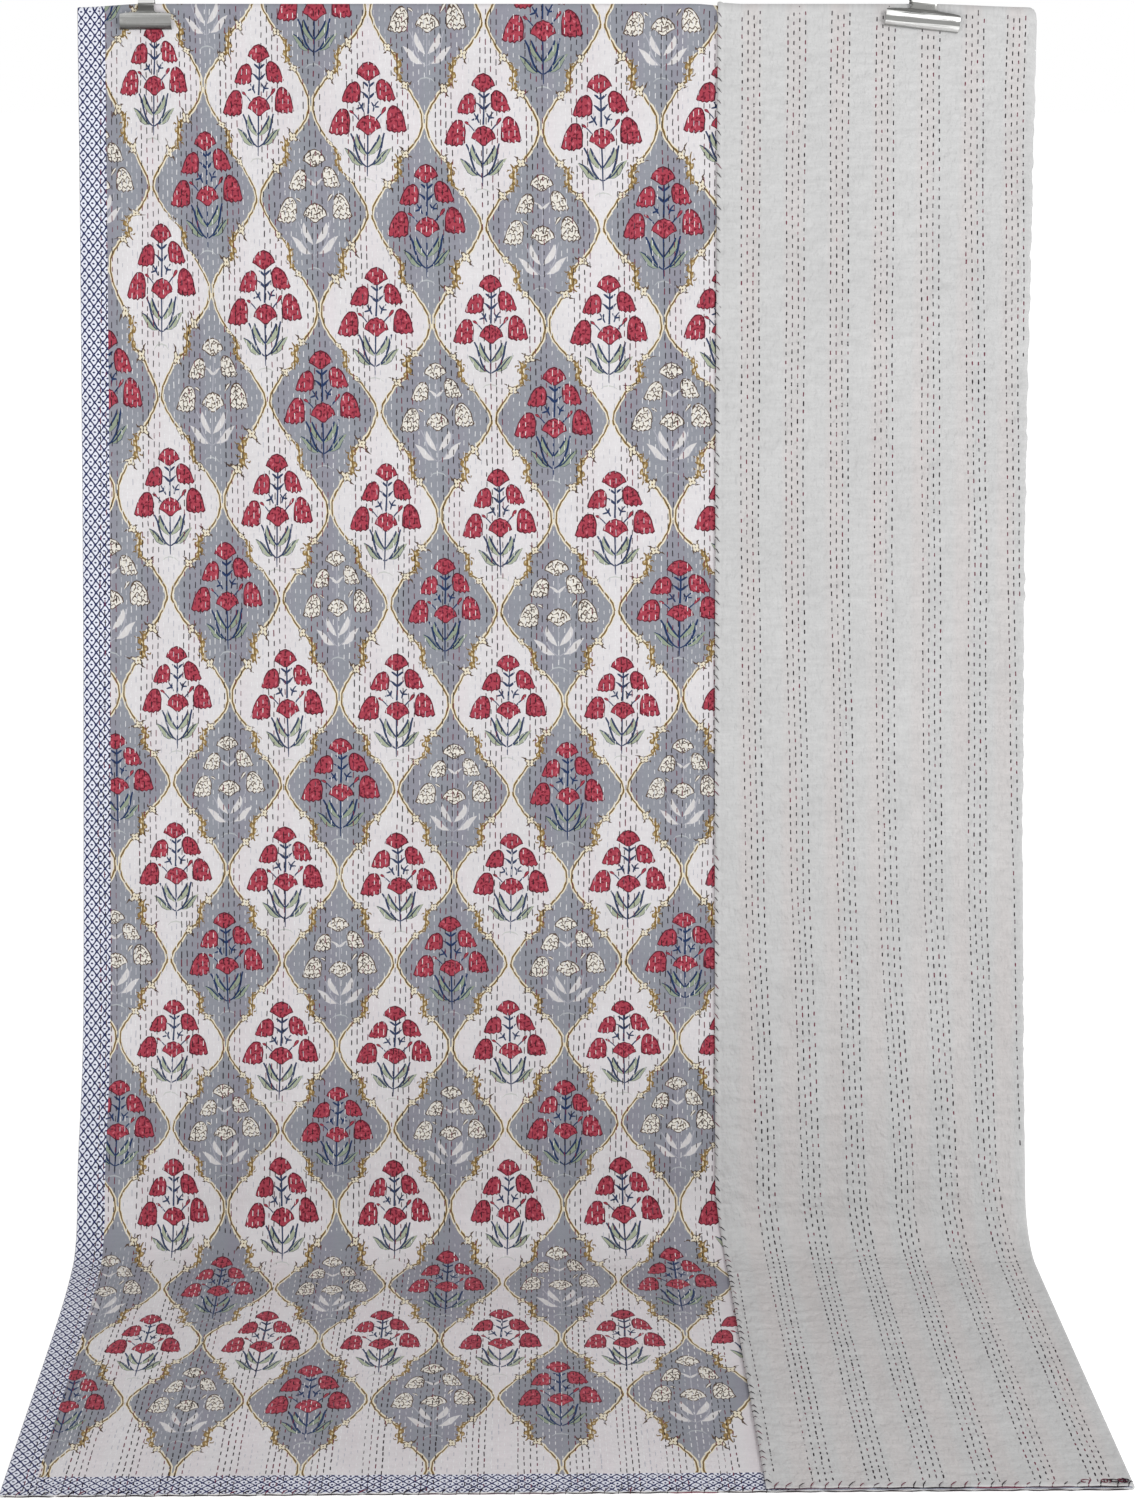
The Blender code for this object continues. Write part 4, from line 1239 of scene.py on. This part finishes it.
def graded_grid(coarse, fine, rows, split):
    """A grid whose rows are split on its fine side, and the ring of points round it."""
    count = len(rows) - 1
    fine_rows = np.interp(np.arange(split * count + 1) / split, np.arange(count + 1), rows)
    first, first_faces = grid(coarse, rows)
    second, second_faces = grid(fine, fine_rows)
    left = np.arange(len(first)).reshape(len(coarse), -1)
    right = np.arange(len(second)).reshape(len(fine), -1) + len(first)
    near = np.repeat(left[-1, :-1], split)
    fans = np.stack((near, right[0, :-1], right[0, 1:]), 1)
    closing = np.stack((left[-1, :-1], right[0, split::split], left[-1, 1:]), 1)
    ring = np.concatenate((left[:, 0], right[:, 0], right[-1, 1:],
                           right[-2::-1, -1], left[::-1, -1], left[0, -2:0:-1]))
    faces = np.concatenate((first_faces, second_faces + len(first), fans, closing))
    return np.concatenate((first, second)), faces, ring


def backing_piece(finishes):
    """The reverse, with its edges turned over to meet the printed face."""
    rows = main_rows(0.0, QUILT_LENGTH, REVERSE_ROW)
    flat, faces, rim = graded_grid(steps(*BEHIND_STEPS), steps(*FLAP_STEPS), rows, FLAP_SPLIT)
    points = fold(flat[:, 0], flat[:, 1], reverse_relief(flat[:, 0], flat[:, 1]))
    across, along = flat[rim, 0], flat[rim, 1]
    out_x = np.where(across == QUILT_WIDTH, RIM_BULGE, np.where(across == 0.0, -RIM_BULGE, 0.0))
    out_y = np.where(along == QUILT_LENGTH, RIM_BULGE, np.where(along == 0.0, -RIM_BULGE, 0.0))
    count, ring = len(points), rim
    for share, depth in RIM_LEVELS:
        extra = fold(across + out_x * share, along + out_y * share, THICKNESS * depth)
        points = np.concatenate((points, extra))
        flat = np.concatenate((flat, np.stack((across + out_x * share, along + out_y * share), 1)))
        new = count + np.arange(len(rim))
        a, b, c, d = ring, np.roll(ring, -1), np.roll(new, -1), new
        faces = np.concatenate((faces, np.stack((a, c, b), 1), np.stack((a, d, c), 1)))
        ring, count = new, count + len(rim)
    piece = triangle_mesh("quilt_reverse", points, faces, np.zeros(len(faces)), [finishes["reverse"]], None,
                          (("cloth", flat), ("OFBake", filled(flat))))
    finish_piece(piece, ["backing"])


# ---------------------------------------------------------------- stitches

# A stitch has eight triangles. White ones and those that lie behind have four.
STITCH_FORM = np.array(((-.5, 0, 0), (-.38, -.5, 0), (-.36, 0, 1), (-.38, .5, 0),
                        (.38, -.5, 0), (.36, 0, 1), (.38, .5, 0), (.5, 0, 0)))
STITCH_FACES = np.array(((0, 1, 2), (0, 2, 3), (1, 4, 5), (1, 5, 2),
                         (2, 5, 6), (2, 6, 3), (4, 7, 5), (5, 7, 6)))
PLAIN_FORM = np.array(((-.48, -.4, 0), (.48, -.4, 0), (.48, .4, 0), (-.48, .4, 0), (0, 0, 1)))
PLAIN_FACES = np.array(((0, 1, 4), (1, 2, 4), (2, 3, 4), (3, 0, 4)))
PLAIN_STITCHES = ("stitches_white", "stitches_turned_over", "stitches_flap_behind", "stitches_back")


def stitch_mesh(name, rows, slots, materials, face, side, width=THREAD):
    """Running stitches as one mesh: each a short raised thread that dips into the cloth at both ends."""
    across, along, lengths, leans = rows
    form, faces = (PLAIN_FORM, PLAIN_FACES) if name in PLAIN_STITCHES else (STITCH_FORM, STITCH_FACES)
    run = form[None, :, 0] * lengths[:, None]
    off = form[None, :, 1] * width + run * leans[:, None]
    a, b = (across[:, None] + off).ravel(), (along[:, None] + run).ravel()
    up = np.tile(form[:, 2], len(across)) * STITCH_HEIGHT - STITCH_SUNK
    points = fold(a, b, face(a, b) + side * up)
    faces = faces if side > 0 else faces[:, ::-1]
    triangles = (faces[None] + len(form) * np.arange(len(across))[:, None, None]).reshape(-1, 3)
    finish_piece(triangle_mesh(name, points, triangles, np.repeat(slots, len(faces)), materials))


def rows_of_stitches(lines, low, high, length, rng, uneven=1.0, spacing=STITCH_PITCH):
    """Centres, lengths and leans of running stitches; a line gives a place across for each distance."""
    found = []
    for number, line in enumerate(lines):
        count = int((high - low) / spacing * 1.15) + 6
        pitch = spacing * (1 + 0.10 * uneven * rng.standard_normal(count).clip(-2, 2)) * rng.uniform(0.93, 1.07)
        at = low + rng.random() * spacing + np.cumsum(pitch) - spacing
        at = at[(at > low) & (at < high)]
        at = at[np.abs(at - APEX) > ROW_ENDS]
        wobble = 0.0004 * np.sin(at * 23 + number * 0.4) + 0.00016 * uneven * rng.standard_normal(len(at))
        lengths = length * (1 + 0.13 * uneven * rng.standard_normal(len(at)).clip(-2, 2))
        found.append((line(at) + wobble, at, lengths, 0.03 * rng.standard_normal(len(at))))
    return [np.concatenate(part) for part in zip(*found)]


def band_line(levels, places, offset):
    """A row of stitches that follows the places of its band, from level to level down the cloth."""
    return lambda at: np.interp(at - APEX, levels, places) + offset


def picked(rng, count, kinds, shares):
    return np.array(kinds)[rng.choice(len(kinds), count, p=shares)]


def band_rows(levels, bands, pitch):
    """The rows of stitches in each of the bands."""
    return [band_line(levels, band, (row - 1.5) * pitch) for band in bands for row in range(ROWS_IN_BAND)]


def dark_lines():
    return band_rows(DARK_LEVELS, DARK_BANDS, ROW_PITCH)


def white_lines():
    """Rows of white stitches, evenly spaced between the dark bands."""
    lines = []
    for band, following in zip(DARK_BANDS, DARK_BANDS[1:]):
        first, last = np.array(band) + 1.5 * ROW_PITCH, np.array(following) - 1.5 * ROW_PITCH
        for row in range(ROWS_IN_BAND):
            lines.append(band_line(DARK_LEVELS, first + (last - first) * (row + 1) / (ROWS_IN_BAND + 1), 0.0))
    return lines


def front_stitches(threads):
    """Dark bands and white bands on the printed face, also where it is turned over at the top."""
    rng = np.random.default_rng(FRONT_SEED)
    foot = QUILT_LENGTH - ROW_ENDS
    for name, lines, low, high, kinds, shares in (
            ("stitches_dark", dark_lines(), APEX, foot, (0, 1, 2), (0.62, 0.23, 0.15)),
            ("stitches_white", white_lines(), APEX, foot, (3, 4), (0.55, 0.45)),
            ("stitches_turned_over", dark_lines(), ROW_ENDS, APEX, (0, 1, 2), (0.62, 0.23, 0.15))):
        rows = rows_of_stitches(lines, low, high, FRONT_STITCH, rng)
        keep = (rows[0] > ROW_ENDS) & (rows[0] < PRINT_END - 0.020)
        rows = [part[keep] for part in rows]
        stitch_mesh(name, rows, picked(rng, len(rows[0]), kinds, shares), threads, printed_face, 1)


def reverse_stitches(threads):
    """Dark bands on the plain reverse: on the flap, behind it, and down the back."""
    rng = np.random.default_rng(REVERSE_SEED)
    flap = band_rows(FLAP_LEVELS, FLAP_BANDS, FLAP_ROW_PITCH)
    middle = [FIRST_BAND + BAND_PITCH * k for k in range(15, 21)]
    back = dark_lines() + band_rows((0, 1), [(place, place) for place in middle], ROW_PITCH)
    edge = [lambda at: np.full(len(at), FLAP_EDGE_ROW["across"])]
    edge_low, edge_high = APEX + FLAP_EDGE_ROW["low"], APEX + FLAP_EDGE_ROW["high"]
    for name, lines, low, high, width in (
            ("stitches_flap", flap, APEX, QUILT_LENGTH - 0.006, THREAD * 1.3),
            ("stitches_flap_edge", edge, edge_low, edge_high, THREAD),
            ("stitches_flap_behind", flap, 0.006, APEX, THREAD),
            ("stitches_back", back, APEX, BEND_START, THREAD * 0.85)):
        rows = rows_of_stitches(lines, low, high, FLAP_STITCH, rng, 0.9, FLAP_PITCH)
        keep = (rows[0] > FOLD_END + 0.003) | (rows[0] < FOLD_START - 0.004)
        rows = [part[keep] for part in rows]
        slots = picked(rng, len(rows[0]), (0, 1, 2), (0.74, 0.12, 0.14))
        stitch_mesh(name, rows, slots, threads, reverse_relief, -1, width)


def tube_mesh(name, paths, radius, slots, materials):
    """Short four-sided threads through given points, as one mesh. paths is threads by points by 3."""
    count, length, _ = paths.shape
    course = np.gradient(paths, axis=1)
    course /= np.linalg.norm(course, axis=2, keepdims=True)
    upright = np.cross(course, np.array((0.31, 0.52, 0.80)))
    upright /= np.linalg.norm(upright, axis=2, keepdims=True)
    aside = np.cross(course, upright)
    turns = np.arange(4) * FULL_TURN / 4
    thin = np.ones(length)
    thin[0] = thin[-1] = 0.35
    rings = paths[:, :, None] + radius * thin[None, :, None, None] * (
        np.cos(turns)[None, None, :, None] * upright[:, :, None]
        + np.sin(turns)[None, None, :, None] * aside[:, :, None])
    faces = []
    for step in range(length - 1):
        for k in range(4):
            a, b = step * 4 + k, step * 4 + (k + 1) % 4
            faces += [(a, b, b + 4), (a, b + 4, a + 4)]
    last = (length - 1) * 4
    faces += [(0, 2, 1), (0, 3, 2), (last, last + 1, last + 2), (last, last + 2, last + 3)]
    faces = np.array(faces)
    triangles = (faces[None] + 4 * length * np.arange(count)[:, None, None]).reshape(-1, 3)
    finish_piece(triangle_mesh(name, rings.reshape(-1, 3), triangles, np.repeat(slots, len(faces)), materials))


def edge_threads(threads, rng):
    """The overcasting thread where it runs on from stitch to stitch along the foot, on both layers; kept dark and
    close to the rim, it also stands in for the shadow line along the foot.
    """
    # dark thread along each layer's rim: a real thread that also serves as a painted shadow line at the foot
    for name, low, high, out, depth in (
            ("edge_thread_foot_as_shadow_line", 0.004, FOLD_START - 0.004, 0.0008, 0.60 * THICKNESS),
            ("edge_thread_flap_as_shadow_line", FOLD_END + 0.004, QUILT_WIDTH - 0.003, 0.0012, 0.75 * THICKNESS)):
        count = int((high - low) / EDGE_RUN)
        at = low + (high - low) / count * (np.arange(count)[:, None] + np.linspace(0, 1.02, 9)[None])
        shape = at.shape
        beyond = out + 0.00025 * np.sin(at * 310) + 0.0001 * rng.standard_normal(shape)
        level = depth + 0.00035 * np.sin(at * 190 + 1)
        paths = fold(at.ravel(), QUILT_LENGTH + beyond.ravel(), level.ravel()).reshape(*shape, 3)
        tube_mesh(name, paths, EDGE_THREAD, picked(rng, count, (0, 1, 2), (0.75, 0.05, 0.2)), threads)
    knots = []   # the knotted thread ends at the flap's outer corner
    for middle, wide, high, turns in KNOTS:
        turn = np.linspace(0, turns * FULL_TURN, 25) + FULL_TURN * rng.random()
        across = FOLD_END + middle + wide * np.cos(turn) + np.linspace(-0.5, 0.5, 25) * wide
        along = QUILT_LENGTH - 0.0048 + high * np.sin(turn) * (1 + 0.3 * np.sin(turn * 0.6))
        knots.append(fold(across, along, -0.0009 - 0.0004 * np.sin(turn * 1.3)))
    tube_mesh("thread_ends", np.stack(knots), EDGE_THREAD * 0.8, np.array((0, 1, 0, 1, 1, 0)), threads)


def overcast(threads):
    """Slanting stitches over the flap's free edge and along the foot."""
    rng = np.random.default_rng(OVERCAST_SEED)

    def uneven(count, size, share):
        return size * (1 + share * rng.standard_normal(count).clip(-2, 2))

    at = np.arange(APEX + 0.008, QUILT_LENGTH - 0.004, OVERCAST_PITCH)
    at = at + 0.0010 * rng.standard_normal(len(at))
    growing = 1 + 0.15 * smooth(1.2, 1.7, at - APEX)
    reach, drop = uneven(len(at), 0.0040, 0.10) * growing, uneven(len(at), 0.0054, 0.12) * growing
    course = ((1.0, 1.0, -0.0004), (0.6, 0.62, -0.0008), (0.16, 0.2, -0.0009), (-0.28, -0.05, 0.5 * THICKNESS),
              (0.20, -0.15, THICKNESS + 0.0004))
    edge = np.stack([fold(QUILT_WIDTH - reach * inwards, at + drop * down, np.full(len(at), depth))
                     for inwards, down, depth in course], 1)
    tube_mesh("overcast_flap", edge, OVERCAST_THREAD, picked(rng, len(at), (0, 1, 2), (0.7, 0.15, 0.15)), threads)
    edge_threads(threads, rng)
    for name, low, high, outer, pitch, shares in (
            ("overcast_foot", 0.006, PRINT_END - 0.03, THICKNESS, 0.0125, (0.7, 0.2, 0.1)),
            ("overcast_flap_foot", FOLD_END + 0.004, QUILT_WIDTH - 0.004, 0.0, 0.0130, (0.5, 0.4, 0.1))):
        at = np.arange(low, high, pitch)
        at = at + 0.0015 * rng.standard_normal(len(at))
        reach, lean = uneven(len(at), 0.0062, 0.2), uneven(len(at), 0.0055, 0.3)
        show = 1 if outer else -1
        course = ((1.0, 1.0, outer + show * 0.0004), (0.5, 0.5, outer + show * 0.0008),
                  (0.05, 0.1, outer + show * 0.0006), (-0.2, 0.0, 0.5 * THICKNESS),
                  (0.3, -0.1, THICKNESS - outer - show * 0.0001))
        edge = np.stack([fold(at + show * lean * aside, QUILT_LENGTH - reach * inwards, np.full(len(at), depth))
                         for inwards, aside, depth in course], 1)
        tube_mesh(name, edge, FOOT_THREAD, picked(rng, len(at), (0, 1, 2), shares), threads)


# ---------------------------------------------------------------- clips

STEEL = 0.0010
CLIP_SEAT = 0.0004
LIP_BELOW_TOP = 0.0300
NECK_SLOPE = math.radians(10)
NECK_LENGTH = 0.0175
ROLL_HEADINGS = (math.radians(76), math.radians(-55))
HANDLE_SLOPE = math.radians(32)
HANDLE_LENGTH = 0.0170
HANDLE_FLARE = 1.25
CURL_RADIUS = 0.0030
CURL_END = math.radians(-140)
CREASE_RADIUS = 0.0020
HANDLE_BEND_RADIUS = 0.0100


def plate_legs(clip):
    lip, shoulder = ROLL_HEADINGS
    return (
        (clip["roll"] * (lip - shoulder), lip, shoulder),
        (CREASE_RADIUS * (-NECK_SLOPE - shoulder), shoulder, -NECK_SLOPE),
        (NECK_LENGTH, -NECK_SLOPE, -NECK_SLOPE),
        (HANDLE_BEND_RADIUS * (HANDLE_SLOPE + NECK_SLOPE), -NECK_SLOPE, HANDLE_SLOPE),
        (HANDLE_LENGTH, HANDLE_SLOPE, HANDLE_SLOPE),
        (CURL_RADIUS * (HANDLE_SLOPE - CURL_END), HANDLE_SLOPE, CURL_END),
    )


def plate_course(legs, travelled):
    """Side view of a plate: (out, up) at a distance from its lip."""
    out, up = 0.0, 0.0
    for length, start, end in legs:
        part = min(travelled, length)
        heading = start + (end - start) * part / length
        if start == end:
            out, up = out + part * math.sin(start), up + part * math.cos(start)
        else:
            radius = length / (end - start)
            out += radius * (math.cos(start) - math.cos(heading))
            up += radius * (math.sin(heading) - math.sin(start))
        travelled -= part
        if travelled <= 0:
            break
    return out, up


def clip_plate(clip, name, lean, side, finish):
    """A bent steel plate with rounded edges: rolled jaw, narrow neck, flared handle and curled end."""
    legs = plate_legs(clip)
    counts = (26, 6, 6, 8, 4, 16)
    build = bmesh.new()
    travelled, strips = 0.0, []
    total = sum(leg[0] for leg in legs)
    jaw_end = legs[0][0]
    neck_end = sum(leg[0] for leg in legs[:3])
    for (length, _, _), count in zip(legs, counts):
        for k in range(count + 1):
            if k == 0 and strips:
                continue
            at = travelled + length * k / count
            out, up = plate_course(legs, at)
            if at <= jaw_end * 0.86:
                half = clip["jaw"] / 2
            elif at <= jaw_end:
                share = (at - jaw_end * 0.86) / (jaw_end * 0.14)
                half = clip["jaw"] / 2 + (clip["neck"] * 0.62 - clip["jaw"] / 2) * share ** 1.6
            else:
                eased = min(1.0, (at - jaw_end) / (0.2 * (neck_end - jaw_end)))
                flare = 1 + (HANDLE_FLARE - 1) * float(smooth(neck_end, total, at))
                half = clip["neck"] * (0.62 + (0.5 * flare - 0.62) * eased)
            if at > total - 0.004:
                half *= 0.90
            strips.append([build.verts.new((half * s, -out, up)) for s in np.linspace(-1, 1, 13)])
        travelled += length
    for lower, upper in zip(strips, strips[1:]):
        for k in range(12):
            build.faces.new((lower[k], lower[k + 1], upper[k + 1], upper[k]))
    bmesh.ops.recalc_face_normals(build, faces=build.faces)
    mesh = bpy.data.meshes.new(name)
    build.to_mesh(mesh)
    build.free()
    plate = bpy.data.objects.new(name, mesh)
    bpy.context.scene.collection.objects.link(plate)
    mesh.materials.append(finish)
    for polygon in mesh.polygons:
        polygon.use_smooth = True
    shell = plate.modifiers.new("steel", "SOLIDIFY")
    shell.thickness = STEEL
    shell.offset = 1.0
    edge = plate.modifiers.new("edge", "BEVEL")
    edge.width = 0.00028
    edge.segments = 2
    edge.limit_method = "ANGLE"
    edge.angle_limit = math.radians(50)
    cloth = STACK if clip["layers"] == 2 else THICKNESS
    forward, up, _ = walk(APEX)
    centre = Vector((PLACED[0], PLACED[1] - float(forward), float(up) - FLOOR_DROP - TOP_FOLD_RADIUS))
    seat = TOP_FOLD_RADIUS + cloth + CLIP_SEAT
    plate.matrix_world = (Matrix.Translation((clip["x"], 0, 0)) @ Matrix.Translation(centre)
                          @ Matrix.Rotation(0.0 if side > 0 else math.pi, 4, "Z") @ Matrix.Rotation(-lean, 4, "X")
                          @ Matrix.Translation((0, -seat, TOP_FOLD_RADIUS + THICKNESS - LIP_BELOW_TOP))
                          @ Matrix.Rotation(side * clip["tilt"], 4, "Y"))
    return plate


PAINTED_LIGHT_BANDS = {   # painted reflections and painted shade: tones up the rolled jaw and the plate above it: (share of the plate's height, tone)
    "clip_left": ((0.0, 92), (0.07, 112), (0.14, 150), (0.26, 152), (0.36, 196), (0.43, 118),
                  (0.50, 88), (0.60, 88), (0.66, 226), (1.0, 244)),
    "clip_right": ((0.0, 160), (0.03, 236), (0.10, 240), (0.13, 132), (0.23, 146), (0.26, 250),
                   (0.33, 250), (0.36, 104), (0.46, 112), (0.60, 118), (0.66, 234), (1.0, 248)),
}
PLATE_TALL = 0.048
CLIP_WEAR = {"clip_left": 0.18, "clip_right": 0.05}


def clip_pieces():
    dark_steel = steel_material("spring_steel_dull", ((0.0, 120), (1.0, 132)), PLATE_TALL, 0.38)
    for clip in CLIPS:
        name = clip["name"]
        steel = steel_material(name + "_steel", PAINTED_LIGHT_BANDS[name], PLATE_TALL, 0.30, CLIP_WEAR[name])
        for part, lean, side in (("front", TOP_LEAN, 1), ("rear", 0.0, -1)):
            plate = clip_plate(clip, name + "_" + part + "_plate", lean, side, steel)
            finish_piece(plate, [name + "_" + part])
        low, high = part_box(name + "_spring")
        finish_piece(coil(clip, low, high, dark_steel), [name + "_spring"])


def coil(clip, low, high, finish):
    """A wound wire spring in the room of the part's barrel."""
    tilt = clip["tilt"]
    length = (high.x - low.x) * 0.94
    radius = (high.y - low.y) / 2
    wire = min(0.0011, radius * 0.28)
    middle = (low + high) / 2
    turns = max(6, int(length / (wire * 2.3)))
    count = turns * 16
    wire_curve = bpy.data.curves.new(clip["name"] + "_coil", "CURVE")
    wire_curve.dimensions = "3D"
    wire_curve.bevel_depth = wire
    wire_curve.bevel_resolution = 2
    wire_curve.use_fill_caps = True
    spline = wire_curve.splines.new("POLY")
    spline.points.add(count)
    for k in range(count + 1):
        turn = FULL_TURN * turns * k / count
        along = length * (k / count - 0.5)
        around = Vector((along, (radius - wire) * math.cos(turn), (radius - wire) * math.sin(turn)))
        around = Matrix.Rotation(tilt, 3, "Y") @ around
        spline.points[k].co = (*(middle + around), 1.0)
    piece = bpy.data.objects.new(clip["name"] + "_coil", wire_curve)
    bpy.context.scene.collection.objects.link(piece)
    wire_curve.materials.append(finish)
    return piece


# ---------------------------------------------------------------- stage

FLOOR_GLOW, DIFFUSE_LIGHT = 0.56, 0.62   # the floor's own light, and the world's for diffuse rays
LIGHTS = (   # name, place, aim, size and power
    ("key", (2.4, -2.8, 3.2), (0.0, 0.2, 0.9), 1.2, 56.0),
    ("fill", (-2.6, -3.4, 1.7), (0.0, 0.2, 0.8), 2.2, 9.0),
)
CAMERA = dict(place=(0.009, -2.762, 1.485), tilt=80, lens=62.16, shift=-0.2)


def stage():
    """Pale floor, soft light and the photograph's camera."""
    scene = bpy.context.scene
    scene.view_settings.view_transform = "Standard"
    floor_mesh = bpy.data.meshes.new("floor")
    floor_mesh.from_pydata([(-14, -8, 0), (14, -8, 0), (14, 30, 0), (-14, 30, 0)], [], [(0, 1, 2, 3)])
    floor = bpy.data.objects.new("floor", floor_mesh)
    scene.collection.objects.link(floor)
    n = Nodes("pale_floor")
    n.shader.inputs["Base Color"].default_value = (0.84, 0.84, 0.84, 1.0)
    n.shader.inputs["Roughness"].default_value = 1.0
    n.shader.inputs["Specular IOR Level"].default_value = 0.0
    n.shader.inputs["Emission Color"].default_value = (1.0, 1.0, 1.0, 1.0)
    n.shader.inputs["Emission Strength"].default_value = FLOOR_GLOW
    floor_mesh.materials.append(n.material)
    world = bpy.data.worlds.new("studio")
    scene.world = world
    world.use_nodes = True
    nodes, links = world.node_tree.nodes, world.node_tree.links
    path = nodes.new("ShaderNodeLightPath")
    strength = nodes.new("ShaderNodeMapRange")
    strength.inputs["To Min"].default_value = 1.0
    strength.inputs["To Max"].default_value = DIFFUSE_LIGHT
    links.new(path.outputs["Is Diffuse Ray"], strength.inputs["Value"])
    nodes["Background"].inputs["Color"].default_value = (1.0, 1.0, 1.0, 1.0)
    links.new(strength.outputs["Result"], nodes["Background"].inputs["Strength"])
    for name, place, aim, size, power in LIGHTS:
        light = bpy.data.lights.new(name, "AREA")
        light.shape = "SQUARE"
        light.size = size
        light.energy = power
        lamp = bpy.data.objects.new(name, light)
        lamp.location = place
        lamp.rotation_euler = (Vector(aim) - Vector(place)).to_track_quat("-Z", "Y").to_euler()
        scene.collection.objects.link(lamp)
    camera = bpy.data.cameras.new("camera")
    camera.lens = CAMERA["lens"]
    camera.sensor_width = 36.0
    camera.shift_y = CAMERA["shift"]
    viewer = bpy.data.objects.new("camera", camera)
    viewer.location = CAMERA["place"]
    viewer.rotation_euler = (math.radians(CAMERA["tilt"]), 0.0, 0.0)
    scene.collection.objects.link(viewer)
    scene.camera = viewer


def main():
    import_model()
    stage()
    finishes = cloth_materials()
    threads = [thread_material(name, colour) for name, colour in THREAD_COLOURS.items()]
    printed_pieces(finishes)
    border_pieces(finishes)
    backing_piece(finishes)
    front_stitches(threads)
    reverse_stitches(threads)
    overcast(threads)
    clip_pieces()
    bpy.context.view_layer.update()


main()
